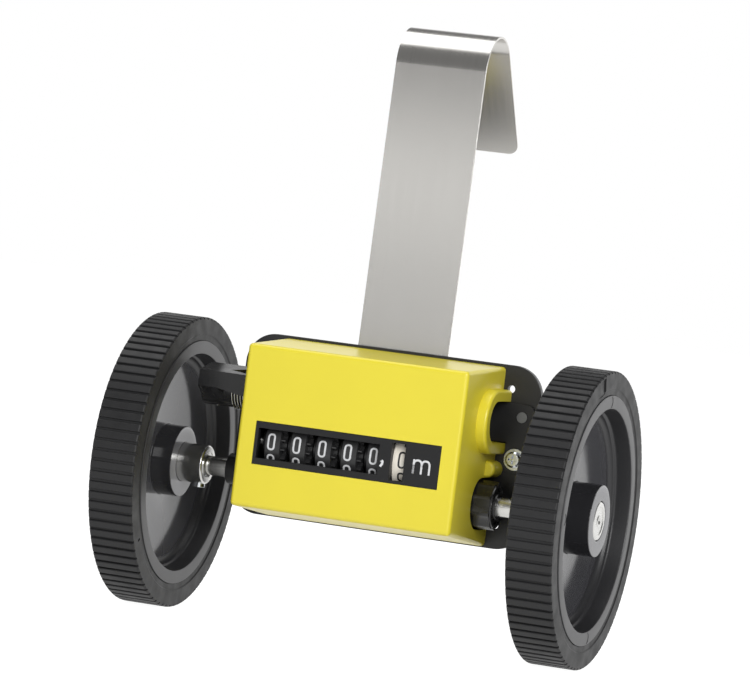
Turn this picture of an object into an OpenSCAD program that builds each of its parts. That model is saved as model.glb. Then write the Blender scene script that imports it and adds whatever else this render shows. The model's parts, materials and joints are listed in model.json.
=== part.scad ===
// Cable length counter: two measuring wheels on one axle drive a six-drum counter
// in a yellow case on a black back plate, which hangs from a stainless strap hook.
// X runs along the axle, +Y to the back plate, +Z up, origin at the middle of the axle.

/* [Measuring wheels] */
// Diameter over the tread, a third of a metre round
wheel_d = 106.1; // [100:0.1:120]
// Width of a wheel and its tyre
wheel_w = 16.8; // [15:0.1:20]
// Distance between the inner faces of the two wheels
wheel_span = 138.7; // [138:0.1:150]
// Tread ribs round a tyre
tread_ribs = 90; // [60:1:110]
// Width of a tread groove
groove_w = 0.75; // [0.4:0.05:1.2]
// Depth of a tread groove
groove_depth = 0.8; // [0.4:0.05:1.5]
// Thickness of the rubber tyre
tyre_t = 8.5; // [6:0.1:10]
// Thickness of the wheel rim at the mouth of the dish
rim_wall = 4.85; // [3:0.05:8]
// How far the wall of the dish tapers in from its mouth to the web
dish_taper = 1.4; // [0.5:0.1:3]
// Depth of the dish from the mouth to the web
dish_depth = 12.4; // [10:0.1:13.5]
// Thickness of the wheel web
web_t = 2.6; // [2:0.1:3.5]
// Diameter of the wheel hub
hub_d = 25.7; // [22:0.1:30]
// How far the right hub stands proud of the dish mouth
hub_proud_right = 0.5; // [0:0.1:1]
// How far the left hub stays below the dish mouth
hub_below_left = 2.2; // [0.5:0.1:4]

/* [Axle and sleeves] */
// Diameter of the axle
axle_d = 7; // [6:0.1:7.5]
// Length of the axle
axle_l = 158; // [150:1:162]
// Diameter of a wheel sleeve
sleeve_d = 14.1; // [12:0.1:18]
// Length of a wheel sleeve
sleeve_l = 24.8; // [23:0.1:27]
// Depth of the axle bore in a wheel sleeve
sleeve_bore_l = 18; // [15:0.1:19]
// Diameter of a wheel set screw
set_screw_d = 4; // [3:0.1:5]
// Diameter of the hand knob
knob_d = 17.5; // [15:0.1:18]
// Length of the hand knob
knob_l = 8.1; // [7:0.1:9]
// Flutes round the hand knob
knob_flutes = 9; // [6:1:12]

/* [Case] */
// Clearance from a side frame to the side wall of the case
case_side_gap = 1.25; // [0.8:0.05:2]
// How much wider the case is at the back plate than at its front face
case_draft_w = 1.8; // [1:0.1:3]
// Height of the case at its front face
case_front_h = 57.9; // [56:0.1:60]
// Height of the case at the back plate
case_back_h = 64.6; // [62:0.1:65.5]
// Depth of the case from the back plate to the front face
case_depth = 40; // [39.8:0.1:42]
// Wall thickness of the case
case_wall = 1.8; // [1.5:0.1:2]
// Rounding of the outer edges of the case
case_edge_r = 1.5; // [1:0.1:2]
// Height of the case centre above the axle at the front
case_front_z = 17.95; // [17.5:0.05:18.5]
// Width of the case front on each side of the number window
window_side = 6.55; // [6:0.05:8]
// Height of the number window
window_h = 15.4; // [15:0.1:17]

/* [Back plate] */
// How far the back plate stands out on each side of the case
plate_side = 14.25; // [14:0.05:18]
// Height of the back plate
plate_h = 66; // [65.5:0.5:72]
// Thickness of the back plate
plate_t = 3; // [2:0.1:4]
// Rounding of the back plate corners
plate_corner_r = 11; // [6:0.5:12]
// Distance from the axle to the front of the back plate
plate_y = 11.3; // [11.2:0.1:12]
// Height of the back plate centre above the axle
plate_z = 17.05; // [16.8:0.05:17.5]
// Distance from a fixing hole to the end of the plate
fixing_side = 11.4; // [11:0.1:13]
// Distance from a fixing hole to the upper or lower edge of the plate
fixing_edge = 8.5; // [8:0.1:9]
// Diameter of a fixing hole
fixing_d = 2.7; // [2.2:0.1:3.2]

/* [Strap hook] */
// Width of the strap
strap_w = 34.5; // [30:0.1:40]
// Thickness of the strap
strap_t = 0.8; // [0.6:0.1:1.2]
// Offset of the strap to the right of the plate centre
strap_x = 1.8; // [0:0.1:3]
// Lean of the front leg towards the back
strap_lean = 1.9; // [0:0.1:4]
// Height above the axle where the bend of the hook starts
strap_bend_z = 153; // [120:1:170]
// Outer radius of the bend of the hook
strap_bend_r = 14.5; // [10:0.1:18]
// Angle of the back leg from the vertical
strap_back_angle = 36; // [20:1:45]
// Length of the back leg
strap_back_l = 42.9; // [30:0.1:60]

/* [Counter] */
// Diameter of a number drum
drum_d = 23.8; // [23:0.1:24]
// Distance from one number drum to the next
drum_pitch = 9.63; // [9.5:0.01:9.8]
// Width of the numbered rim of a drum
drum_rim_w = 5.6; // [5.2:0.1:5.8]
// Distance from the left side frame to the middle of the leftmost drum
drum_inset = 7.8; // [7.5:0.1:8.5]
// Room between the side frames that the drums leave to their spacers and gears
drive_room = 15.82; // [15.8:0.01:17]
// Distance from the axle forward to the drum shaft
drum_y = 13.6; // [13.4:0.1:13.8]
// Height of the drum shaft above the axle
drum_z = 12.2; // [12:0.1:12.5]
// Diameter of the drum shaft
drum_shaft_d = 4; // [3:0.1:4.5]
// Teeth on the axle gear
axle_teeth = 24; // [24:1:24]
// Teeth on the large idler gear
idler_teeth = 36; // [36:1:36]
// Teeth on the small idler gear
idler_small_teeth = 18; // [18:1:18]
// Teeth on the drum drive gear
drive_teeth = 36; // [36:1:36]
// Module of the drive gears
drive_module = 0.5; // [0.48:0.01:0.5]
// Teeth on the transfer gear of a drum
transfer_teeth = 20; // [20:1:20]
// Teeth on a transfer pinion
pinion_teeth = 8; // [8:1:8]
// Module of the transfer gears
transfer_module = 1; // [0.98:0.01:1]

/* [Reset lever] */
// Distance from the axle forward to the reset shaft
reset_y = 2.9; // [2.6:0.1:3.2]
// Height of the reset shaft above the axle
reset_z = 28.6; // [28.4:0.1:28.8]
// Diameter of the reset shaft
reset_shaft_d = 6; // [5:0.1:6.2]
// Angle that the lever travels when pressed
reset_travel = 25; // [15:1:25]
// Outer diameter of the return spring
spring_d = 13.9; // [13.5:0.1:14]
// Diameter of the spring wire
spring_wire_d = 0.62; // [0.5:0.02:0.66]
// Distance from one curl of the spring to the next
spring_pitch = 1.1; // [1.08:0.01:1.15]

/* [Hidden] */

$fn = 64;
// Facets of a hull's own rounded children
hull_fn = 24;
// Overrun of every cut past the face that it opens
cut = 1;
// Running clearance on the radius of a turning fit
run_gap = 0.05;
// Clearance on the radius of a fixed fit
fit_gap = 0.03;
// Clearance between pieces that stand side by side
side_gap = 0.3;

// Side frames and number drums along the axle
drum_count = 6;
frame_t = 1.5;
frame_in = (drum_count * drum_pitch + drive_room) / 2;
frame_x = frame_in + frame_t;
drum_first_x = drum_inset - frame_in;

// Wheels
wheel_r = wheel_d / 2;
wheel_in = wheel_span / 2;
wheel_out = wheel_in + wheel_w;
rim_r = wheel_r - tyre_t;
tyre_seat_r = rim_r + fit_gap;
tyre_chamfer = 0.5;
tread_step = 360 / tread_ribs;
tread_angle_right = 180 - 0.7;
tread_angle_left = 180 - 3.77;
dish_mouth_r = rim_r - rim_wall;
dish_floor_r = dish_mouth_r - dish_taper;
dish_fillet = 3.2;
dish_fillet_steps = 5;
rim_chamfer = 0.6;
web_front = wheel_w - dish_depth;
web_back = web_front - web_t;
hub_r = hub_d / 2;

// Axle and sleeves
axle_r = axle_d / 2;
axle_chamfer = 0.5;
sleeve_r = sleeve_d / 2;
sleeve_out = wheel_out + hub_proud_right;
sleeve_in = sleeve_out - sleeve_l;
sleeve_chamfer = 0.5;
sleeve_mouth_w = 1.1;
sleeve_mouth_l = 1.4;
centre_mark_r = 1.3;
centre_mark_depth = 1.5;
set_screw_r = set_screw_d / 2;
set_screw_inset = 2.6;
set_screw_proud = 1.3;
socket_share = 0.55;

// Hand knob
knob_r = knob_d / 2;
knob_from_frame = 2.4;
knob_in = frame_x + knob_from_frame;
knob_out = knob_in + knob_l;
knob_ridge_angle = 160;
knob_flute_r = 7.5;
knob_flute_depth = 0.75;
knob_lip_step = 0.9;
knob_lip_r = knob_r - knob_lip_step;
knob_lip_l = 0.5;
knob_rim_w = 2;
knob_dish_r = knob_r - knob_rim_w;
knob_dish_depth = 0.9;
knob_hub_wall = 1.3;
knob_hub_r = axle_r + knob_hub_wall;
knob_hub_proud = 0.5;
knob_screw_r = 1.5;
knob_screw_angle = 300;

// Case
case_front_y = plate_y - case_depth;
case_front_hw = frame_x + case_side_gap + case_wall;
case_back_hw = case_front_hw + case_draft_w / 2;
case_back_drop = 1.22;
case_back_z = case_front_z - case_back_drop;
window_w = 2 * (case_front_hw - window_side);
window_z = 12.2;
mask_gap = 0.05;
mask_flange = 1.5;
mask_flange_t = 0.8;
digits_slot_start = 4.6;
digits_slot_end = 2.48;
tenths_slot_hw = 2.55;
digits_slot_left = drum_x(1) - digits_slot_start;
digits_slot_right = drum_x(drum_count - 1) + digits_slot_end;
digits_slot_h = 10.7;
tenths_slot_left = drum_x(drum_count) - tenths_slot_hw;
tenths_slot_right = drum_x(drum_count) + tenths_slot_hw;
tenths_slot_h = 13.2;
slot_z = 29.6;
slot_r = 7.5;
slot_rim_w = 4;
slot_rim_proud = 1.4;
knob_cut_gap = 0.65;
knob_cut_r = knob_r + knob_cut_gap;
post_from_side = 0.25;
post_x = case_back_hw + post_from_side;
post_z = 12.5;
post_r = 3;
post_l = 9.7;
post_nose = 1.2;
post_pilot_r = 1.05;
post_pilot_l = 8;

// Back plate and its fasteners
plate_w = 2 * (case_back_hw + plate_side);
plate_back_y = plate_y + plate_t;
fixing_w = plate_w - 2 * fixing_side;
fixing_h = plate_h - 2 * fixing_edge;
fixing_r = fixing_d / 2;
case_screw_r = 1;
case_screw_head_r = 2.4;
case_screw_head_t = 1.6;
ear_inset = 1.5;
ear_x = plate_w / 2 - ear_inset;
ear_w = 9;
ear_in_x = ear_x - ear_w;
ear_screw_inset = 5;
ear_screw_x = ear_x - ear_screw_inset;
ear_screw_z = 16.8;
ear_screw_r = 1.5;
ear_screw_head_r = 2.9;
ear_screw_head_t = 1.9;
ear_washer_r = 3.95;
ear_washer_t = 0.8;
head_chamfer_share = 0.35;
recess_length_share = 1.1;
recess_width_share = 0.26;
recess_depth_share = 0.6;
rivet_inset = 4.1;
rivet_x = ear_x - rivet_inset;
rivet_z = 32;
rivet_r = 1.25;
rivet_head_r = 1.95;
rivet_head_t = 0.6;

// Strap hook
strap_foot_z = 3.5;
strap_lift_z = plate_z + plate_h / 2;
strap_corner_r = 4;
strap_corner_steps = 8;
strap_bend_steps = 40;
strap_mean_r = strap_bend_r - strap_t / 2;
strap_lean_y = (strap_bend_z - strap_lift_z) * tan(strap_lean);
strap_bend_y = plate_back_y + strap_t / 2 + strap_lean_y + strap_mean_r * cos(strap_lean);
strap_bend_centre_z = strap_bend_z - strap_mean_r * sin(strap_lean);
strap_screw_dx = 10;
strap_screw_low_z = 12;
strap_screw_high_z = 38;
strap_screw_r = 1.5;
strap_screw_head_r = 2.8;
strap_screw_head_t = 1.8;
strap_screw_tip = 1;

// Side frames, bushes and stays
frame_front_y = -20.5;
frame_low_z = -8.5;
frame_top_z = 36.6;
frame_corner_r = 4;
ear_low_z = 12;
ear_pass_z = 22.6;
ear_corner_r = 2.5;
bush_r = 5.6;
bush_flange_r = 7;
bush_flange_t = 1.4;
bush_in = frame_in - bush_flange_t;
bush_left_l = 15;
bush_left_end = frame_x + bush_left_l;
stay_r = 2;
stay_tenon_r = 1.25;
stay_tenon_proud = 0.4;
stay_front_y = -16;
stay_front_z = 31.5;
stay_back_y = 8;
stay_back_z = -5;
shaft_reach = 1.1;
shaft_end = frame_x + shaft_reach;
clip_t = 0.5;
clip_gap = 0.05;
clip_grip = 0.35;
clip_ring_w = 1.3;

// Number drums and their transfer pinions
drum_r = drum_d / 2;
drum_shaft_r = drum_shaft_d / 2;
drum_bore_r = drum_shaft_r + run_gap;
drum_hub_r = 3.6;
transfer_gear_w = 1.5;
lug_disc_w = 1;
lug_disc_r = 7.2;
lug_w = 1.2;
heart_w = 1.1;
heart_r = 8.6;
heart_low_r = 4.6;
heart_step = 12;
drum_end_gap = 0.1;
drum_rim_hw = drum_rim_w / 2;
drum_hub_left = drum_rim_hw + lug_disc_w + heart_w;
drum_hub_right = drum_pitch - drum_hub_left - 2 * drum_end_gap;
pinion_end_gap = 0.2;
pinion_shaft_r = 1.5;
transfer_r = transfer_teeth * transfer_module / 2;
pinion_r = pinion_teeth * transfer_module / 2;
pinion_y = -drum_y;
pinion_z = drum_z - transfer_r - pinion_r;
pinion_tooth_angle = 90;
drum_tooth_angle = 180 / transfer_teeth - 90;

// Drive gears from the axle to the drums
drive_from_drum = 6.85;
drive_x = drum_x(drum_count) + drive_from_drum;
gear_step = 5.2;
axle_gear_x = drive_x + gear_step;
gear_w = 3;
mesh_overlap = 0.2;
gear_hub_r = 5.2;
idler_sleeve_r = 3.2;
idler_shaft_r = 1.5;
idler_shaft_reach = 1.4;
idler_shaft_left = drive_x - idler_shaft_reach;
idler_shoulder_r = 2.6;
collar_r = 5.6;
collar_l = 4.2;
collar_screw_r = 1.25;
axle_gear_r = axle_teeth * drive_module / 2;
idler_r = idler_teeth * drive_module / 2;
idler_small_r = idler_small_teeth * drive_module / 2;
drive_r = drive_teeth * drive_module / 2;
axle_centres = axle_gear_r + idler_r;
drive_centres = idler_small_r + drive_r;
drum_centre = [-drum_y, drum_z];
axle_to_drum = norm(drum_centre);
idler_along = (axle_centres * axle_centres - drive_centres * drive_centres
    + axle_to_drum * axle_to_drum) / (2 * axle_to_drum);
idler_aside = sqrt(axle_centres * axle_centres - idler_along * idler_along);
drum_dir = drum_centre / axle_to_drum;
idler_centre = idler_along * drum_dir + idler_aside * [drum_dir[1], -drum_dir[0]];
idler_angle = atan2(idler_centre[1], idler_centre[0]);
idler_to_drum = drum_centre - idler_centre;
drive_angle = atan2(idler_to_drum[1], idler_to_drum[0]);
pressure_angle = 20;
addendum_share = 0.9;
dedendum_share = 1.2;
drive_thinning = 0.1;
transfer_thinning = 0.34;
flank_steps = 3;

// Reset lever, shaft and comb
reset_r = reset_shaft_d / 2;
lever_from_frame = 5.9;
lever_right = frame_x + lever_from_frame;
lever_w = 20.4;
lever_left = lever_right + lever_w;
lever_rib_inset = 7.2;
lever_rib_x = lever_left - lever_rib_inset;
reset_end_inset = 2.1;
reset_left_end = lever_left - reset_end_inset;
lever_front_y = -13;
lever_wall = 1;
lever_end_wall = 1.2;
lever_front_top_z = 34.7;
lever_back_y = -1;
lever_back_top_z = 37.4;
lever_web_t = 0.85;
lever_low_z = 28.8;
lever_low_right_z = 27;
lever_step_from_rib = 0.2;
lever_low_step_x = lever_rib_x - lever_step_from_rib;
lever_low_flat_w = 3.8;
lever_low_flat_x = lever_right + lever_low_flat_w;
lever_hub_r = 5.4;
lever_hub_end = frame_x + side_gap;
lever_boss_r = 6.4;
lever_notch_inset = 2;
lever_notch_right = lever_right + lever_notch_inset;
lever_notch_w = 8;
lever_notch_left = lever_notch_right + lever_notch_w;
lever_notch_front_y = -11.7;
lever_notch_mid_y = -8.6;
lever_notch_back_y = -3.6;
lever_pin_r = 1;
lever_pin_inset = 4.6;
lever_pin_x = lever_left - lever_pin_inset;
comb_end_gap = 0.6;
comb_left = frame_in - comb_end_gap;
comb_right_inset = 1.15;
comb_right = drum_x(drum_count) - comb_right_inset;
comb_bar_r = 5;
comb_finger_x = drum_rim_hw + lug_disc_w + heart_w / 2;
comb_finger_w = 0.9;
comb_finger_t = 3;
comb_clear = 0.35;
comb_screw_r = 1.25;
comb_screw_from_finger = 4.4;
reset_to_drum = drum_centre - [-reset_y, reset_z];
comb_reach = norm(reset_to_drum) - heart_r - comb_clear;
comb_angle = atan2(reset_to_drum[1], reset_to_drum[0]) - reset_travel;

// Return spring
spring_wire_r = spring_wire_d / 2;
spring_mean_r = spring_d / 2 - spring_wire_r;
spring_from_frame = 14.5;
spring_left = -frame_x - spring_from_frame;
spring_turns = 5.25;
spring_start_angle = 180;
spring_rings = 8;
spring_sides = 6;
spring_up_leg = 5.4;
spring_back_leg = plate_y - frame_t + reset_y - side_gap;

yellow = "#e8d840";
black_plastic = "#1c1c1e";
grey_plastic = "#4a4b4d";
rubber = "#2a2a2b";
steel = "#b9bcc0";
stainless = "#a8a8a6";
ivory = "#e6ddc6";
black_paint = "#161617";
brass = "#b59a52";

// Round bar along X
module rod_x(x0, x1, r, y = 0, z = 0) {
    translate([x0, y, z]) rotate([0, 90, 0]) cylinder(h = x1 - x0, r = r);
}

// Round bar along Y
module rod_y(y0, y1, r, x = 0, z = 0) {
    translate([x, y0, z]) rotate([-90, 0, 0]) cylinder(h = y1 - y0, r = r);
}

// Round bar in the (Y, Z) plane, pointing away from the X axis at an angle from +Y
module spoke(x, angle, r0, r1, r) {
    translate([x, 0, 0]) rotate([angle, 0, 0]) rod_y(r0, r1, r);
}

// Outline in (Y, Z), from x0 to x1
module slab_x(x0, x1) {
    translate([x0, 0, 0]) rotate([90, 0, 90]) linear_extrude(x1 - x0) children();
}

// Outline in (X, Z), from y0 to y1
module slab_y(y0, y1) {
    translate([0, y1, 0]) rotate([90, 0, 0]) linear_extrude(y1 - y0) children();
}

// Outline in (radius, X), turned about the X axis
module turned_x() {
    rotate([0, 90, 0]) rotate_extrude() children();
}

// The same piece on the left and on the right
module both_sides() {
    children();
    mirror([1, 0, 0]) children();
}

module at_drums() {
    translate([0, -drum_y, drum_z]) children();
}

module at_idler() {
    translate([0, idler_centre[0], idler_centre[1]]) children();
}

module at_reset() {
    translate([0, -reset_y, reset_z]) children();
}

module rounded_square(w, h, r) {
    for (x = [-w / 2 + r, w / 2 - r], y = [-h / 2 + r, h / 2 - r])
        translate([x, y]) circle(r);
    square([w - 2 * r, h], center = true);
    square([w, h - 2 * r], center = true);
}

// Cross-headed screw along +Y: the head stands in front of y = 0, the shank behind it
module pan_screw(head_r, head_t, shank_r, shank_l) {
    chamfer = head_t * head_chamfer_share;
    recess_w = head_r * recess_width_share;
    difference() {
        rotate([-90, 0, 0]) rotate_extrude() polygon([
            [0, -head_t], [head_r - chamfer, -head_t], [head_r, chamfer - head_t],
            [head_r, 0], [shank_r, 0], [shank_r, shank_l], [0, shank_l]
        ]);
        for (turn = [0, 90])
            rotate([0, turn, 0])
                translate([-head_r * recess_length_share / 2, -head_t - cut, -recess_w / 2])
                    cube([head_r * recess_length_share, cut + head_t * recess_depth_share, recess_w]);
    }
}

// Threadless stand-in for a socket set screw along a spoke
module set_screw(x, angle, r0, r1, r) {
    difference() {
        spoke(x, angle, r0, r1, r);
        spoke(x, angle, r1 - r, r1 + cut, r * socket_share);
    }
}

// Involute of the pressure angle a, in degrees
function involute(a) = tan(a) * 180 / PI - a;

// Half the angle of a tooth at radius r
function tooth_half_angle(teeth, m, thinning, r) =
    let (pitch_r = teeth * m / 2, base_r = pitch_r * cos(pressure_angle))
    90 / teeth - thinning / 2 / pitch_r * 180 / PI + involute(pressure_angle)
        - involute(acos(min(1, base_r / r)));

function gear_outline(teeth, m, thinning) =
    let (tip_r = m * (teeth / 2 + addendum_share), root_r = m * (teeth / 2 - dedendum_share))
    [for (i = [0:teeth - 1], side = [-1, 1], j = [0:flank_steps])
        let (
            r = root_r + (tip_r - root_r) * (side < 0 ? j : flank_steps - j) / flank_steps,
            a = 360 * i / teeth + side * tooth_half_angle(teeth, m, thinning, r)
        )
        r * [cos(a), sin(a)]];

module gear(x0, x1, teeth, m, thinning, angle) {
    slab_x(x0, x1) rotate(angle) polygon(gear_outline(teeth, m, thinning));
}

module case_shell_outline(inset) {
    r = case_edge_r;
    front_h = case_front_h - 2 * inset;
    back_h = case_back_h - 2 * inset;
    if (inset == 0) {
        for (x = [-1, 1], z = [-1, 1]) {
            translate([x * (case_front_hw - r), case_front_y + r, case_front_z + z * (front_h / 2 - r)])
                sphere(r, $fn = hull_fn);
            rod_y(plate_y - r, plate_y, r, x * (case_back_hw - r), case_back_z + z * (back_h / 2 - r),
                $fn = hull_fn);
        }
    } else {
        translate([inset - case_front_hw, case_front_y + inset, case_front_z - front_h / 2])
            cube([2 * (case_front_hw - inset), r, front_h]);
        translate([inset - case_back_hw, plate_y, case_back_z - back_h / 2])
            cube([2 * (case_back_hw - inset), r, back_h]);
    }
}

module slot_outline(r) {
    translate([-reset_y, slot_z]) circle(r);
    translate([-reset_y, slot_z - r]) square([plate_y + reset_y, 2 * r]);
}

module case_post() {
    translate([post_x, plate_y - post_l, post_z]) rotate([-90, 0, 0]) rotate_extrude() polygon([
        [0, 0], [post_r - post_nose, 0], [post_r, post_nose], [post_r, post_l], [0, post_l]
    ]);
}

module case_cover() {
    color(yellow) difference() {
        union() {
            difference() {
                hull() case_shell_outline(0);
                hull() case_shell_outline(case_wall);
            }
            both_sides() {
                slab_x(case_front_hw - case_wall, case_back_hw + slot_rim_proud)
                    slot_outline(slot_r + slot_rim_w);
                case_post();
            }
        }
        slab_y(case_front_y - cut, case_front_y + case_wall + cut)
            translate([0, window_z]) square([window_w, window_h], center = true);
        both_sides() {
            slab_x(case_front_hw - case_wall - cut, case_back_hw + slot_rim_proud + cut) {
                slot_outline(slot_r);
                translate([plate_y, slot_z]) square([cut, 2 * slot_r], center = true);
                circle(knob_cut_r);
                translate([0, -knob_cut_r]) square([plate_y + cut, 2 * knob_cut_r]);
            }
            rod_y(plate_y - post_pilot_l, plate_y + cut, post_pilot_r, post_x, post_z);
        }
    }
}

module mask_outline(grow) {
    translate([0, window_z])
        square([window_w + 2 * grow, window_h + 2 * grow], center = true);
}

module number_mask() {
    back_y = case_front_y + case_wall;
    color(black_plastic) difference() {
        union() {
            slab_y(case_front_y, back_y) mask_outline(-mask_gap);
            slab_y(back_y, back_y + mask_flange_t) mask_outline(mask_flange);
        }
        slab_y(case_front_y - cut, back_y + mask_flange_t + cut) {
            translate([digits_slot_left, window_z - digits_slot_h / 2])
                square([digits_slot_right - digits_slot_left, digits_slot_h]);
            translate([tenths_slot_left, window_z - tenths_slot_h / 2])
                square([tenths_slot_right - tenths_slot_left, tenths_slot_h]);
        }
    }
}

module strap_screw_places() {
    for (x = [-strap_screw_dx, strap_screw_dx], z = [strap_screw_low_z, strap_screw_high_z])
        translate([strap_x + x, 0, z]) children();
}

module back_plate() {
    color(black_paint) difference() {
        slab_y(plate_y, plate_back_y)
            translate([0, plate_z]) rounded_square(plate_w, plate_h, plate_corner_r);
        for (x = [-fixing_w / 2, fixing_w / 2], z = [plate_z - fixing_h / 2, plate_z + fixing_h / 2])
            rod_y(plate_y - cut, plate_back_y + cut, fixing_r, x, z);
        both_sides() {
            rod_y(plate_y - cut, plate_back_y + cut, ear_screw_r + fit_gap, ear_screw_x, ear_screw_z);
            rod_y(plate_y - cut, plate_back_y + cut, rivet_r + fit_gap, rivet_x, rivet_z);
            rod_y(plate_y - cut, plate_back_y + cut, case_screw_r + fit_gap, post_x, post_z);
        }
        strap_screw_places() rod_y(plate_y - cut, plate_back_y + cut, strap_screw_r + fit_gap);
    }
}

// Outer or inner edge of the strap's side view, from the foot to the end of the back leg
function strap_edge(off) =
    let (
        sweep = 180 - strap_lean - strap_back_angle,
        centre = [strap_bend_y, strap_bend_centre_z],
        lift = [plate_back_y + strap_t / 2 - off, strap_lift_z],
        leg = strap_back_l * [sin(strap_back_angle), -cos(strap_back_angle)],
        tail = [cos(strap_back_angle), sin(strap_back_angle)]
    )
    [
        [lift[0], strap_foot_z], lift,
        for (step = [0:strap_bend_steps])
            let (a = 180 - strap_lean - sweep * step / strap_bend_steps)
            centre + (strap_mean_r + off) * [cos(a), sin(a)],
        centre + (strap_mean_r + off) * tail + leg
    ];

// Corner left over outside a quarter circle of the strap's corner radius, with its ends run
// out past the edges of the strap
function strap_corner_outline() =
    let (
        size = strap_corner_r + cut,
        arc = [for (step = [0:strap_corner_steps])
            let (a = -90 * step / strap_corner_steps)
            strap_corner_r * [cos(a), sin(a)]],
        last = strap_corner_steps
    )
    [
        2 * arc[0] - arc[1], for (step = [1:last - 1]) arc[step], 2 * arc[last] - arc[last - 1],
        [0, -size], [size, -size], [size, 0]
    ];

// Rounds both lower corners of the back leg
module strap_corner_cuts() {
    for (side = [0, 1])
        mirror([side, 0, 0])
            translate([strap_w / 2 - strap_corner_r, strap_corner_r - strap_back_l, -strap_bend_r - cut])
                linear_extrude(strap_t + 2 * cut) polygon(strap_corner_outline());
}

module strap_hook() {
    outer = strap_edge(strap_t / 2);
    inner = strap_edge(-strap_t / 2);
    color(stainless) difference() {
        slab_x(strap_x - strap_w / 2, strap_x + strap_w / 2)
            polygon(concat(outer, [for (i = [len(inner) - 1:-1:0]) inner[i]]));
        translate([strap_x, strap_bend_y, strap_bend_centre_z])
            rotate([90 + strap_back_angle, 0, 0]) strap_corner_cuts();
        strap_screw_places()
            rod_y(plate_back_y - strap_t, plate_back_y + 2 * strap_t, strap_screw_r + fit_gap);
    }
}

module strap_screws() {
    color(steel) strap_screw_places() translate([0, plate_back_y + strap_t, 0]) rotate([0, 0, 180])
        pan_screw(strap_screw_head_r, strap_screw_head_t, strap_screw_r,
            strap_t + plate_t + strap_screw_tip);
}

module stay_places() {
    translate([0, stay_front_y, stay_front_z]) children();
    translate([0, stay_back_y, stay_back_z]) children();
}

module ear_outline() {
    translate([frame_in, ear_pass_z]) square([ear_x - frame_in - ear_w / 2, frame_top_z - ear_pass_z]);
    translate([ear_in_x + ear_w / 2, (ear_low_z + frame_top_z) / 2])
        rounded_square(ear_w, frame_top_z - ear_low_z, ear_corner_r);
}

// Side frame on the right, with the holes that both frames share
module side_frame() {
    frame_h = frame_top_z - frame_low_z;
    frame_l = plate_y - frame_front_y;
    difference() {
        union() {
            slab_x(frame_in, frame_x) translate([frame_front_y, frame_low_z]) {
                translate([frame_l / 2, frame_h / 2]) rounded_square(frame_l, frame_h, frame_corner_r);
                translate([frame_l / 2, 0]) square([frame_l / 2, frame_h]);
            }
            slab_y(plate_y - frame_t, plate_y) ear_outline();
        }
        rod_x(frame_in - cut, frame_x + cut, bush_r + fit_gap);
        at_drums() rod_x(frame_in - cut, frame_x + cut, drum_shaft_r + fit_gap);
        rod_x(frame_in - cut, frame_x + cut, pinion_shaft_r + fit_gap, pinion_y, pinion_z);
        at_reset() rod_x(frame_in - cut, frame_x + cut, reset_r + run_gap);
        stay_places() rod_x(frame_in - cut, frame_x + cut, stay_tenon_r + fit_gap);
        rod_y(plate_y - frame_t - cut, plate_y + cut, ear_screw_r + fit_gap, ear_screw_x, ear_screw_z);
        rod_y(plate_y - frame_t - cut, plate_y + cut, rivet_r + fit_gap, rivet_x, rivet_z);
    }
}

module side_frame_left() {
    color(steel) mirror([1, 0, 0]) side_frame();
}

module side_frame_right() {
    color(steel) difference() {
        side_frame();
        at_idler() rod_x(frame_in - cut, frame_x + cut, idler_shaft_r + fit_gap);
    }
}

module ear_screws() {
    seat_y = plate_y - frame_t - ear_washer_t;
    color(steel) both_sides() translate([ear_screw_x, seat_y, ear_screw_z])
        pan_screw(ear_screw_head_r, ear_screw_head_t, ear_screw_r, plate_back_y - seat_y);
}

module ear_washers() {
    seat_y = plate_y - frame_t;
    color(steel) both_sides() difference() {
        rod_y(seat_y - ear_washer_t, seat_y, ear_washer_r, ear_screw_x, ear_screw_z);
        rod_y(seat_y - ear_washer_t - cut, seat_y + cut, ear_screw_r + fit_gap, ear_screw_x, ear_screw_z);
    }
}

module plate_rivets() {
    front_y = plate_y - frame_t;
    color(steel) both_sides() {
        rod_y(front_y - rivet_head_t, front_y, rivet_head_r, rivet_x, rivet_z);
        rod_y(front_y, plate_back_y, rivet_r, rivet_x, rivet_z);
        rod_y(plate_back_y, plate_back_y + rivet_head_t, rivet_head_r, rivet_x, rivet_z);
    }
}

module case_screws() {
    color(steel) both_sides() translate([post_x, plate_back_y, post_z]) rotate([0, 0, 180])
        pan_screw(case_screw_head_r, case_screw_head_t, case_screw_r,
            plate_t + post_pilot_l - side_gap);
}

// Flanged bush on the right of x = 0, that reaches out to x = end
module axle_bush(end) {
    bore_r = axle_r + run_gap;
    turned_x() polygon([
        [bore_r, bush_in], [bush_flange_r, bush_in], [bush_flange_r, frame_in], [bush_r, frame_in],
        [bush_r, end], [bore_r, end]
    ]);
}

module axle_bush_left() {
    color(black_plastic) mirror([1, 0, 0]) axle_bush(bush_left_end);
}

module axle_bush_right() {
    color(black_plastic) axle_bush(knob_in - 2 * side_gap);
}

module clip_groove(face_x, shaft_r) {
    difference() {
        rod_x(face_x, face_x + clip_t + 2 * clip_gap, shaft_r + cut);
        rod_x(face_x - cut, face_x + clip_t + cut, shaft_r - clip_grip);
    }
}

// Open spring clip in the groove of a shaft
module shaft_clip(face_x, shaft_r) {
    hold_r = shaft_r - clip_grip;
    slab_x(face_x + clip_gap, face_x + clip_gap + clip_t) difference() {
        circle(shaft_r + clip_ring_w);
        circle(hold_r + fit_gap);
        translate([0, -hold_r]) square([shaft_r + clip_ring_w + cut, 2 * hold_r]);
    }
}

module shaft_clips() {
    color(steel) {
        both_sides() {
            at_drums() shaft_clip(frame_x, drum_shaft_r);
            translate([0, pinion_y, pinion_z]) shaft_clip(frame_x, pinion_shaft_r);
        }
        at_idler() mirror([1, 0, 0]) shaft_clip(-drive_x + mesh_overlap + clip_gap, idler_shaft_r);
    }
}

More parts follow.
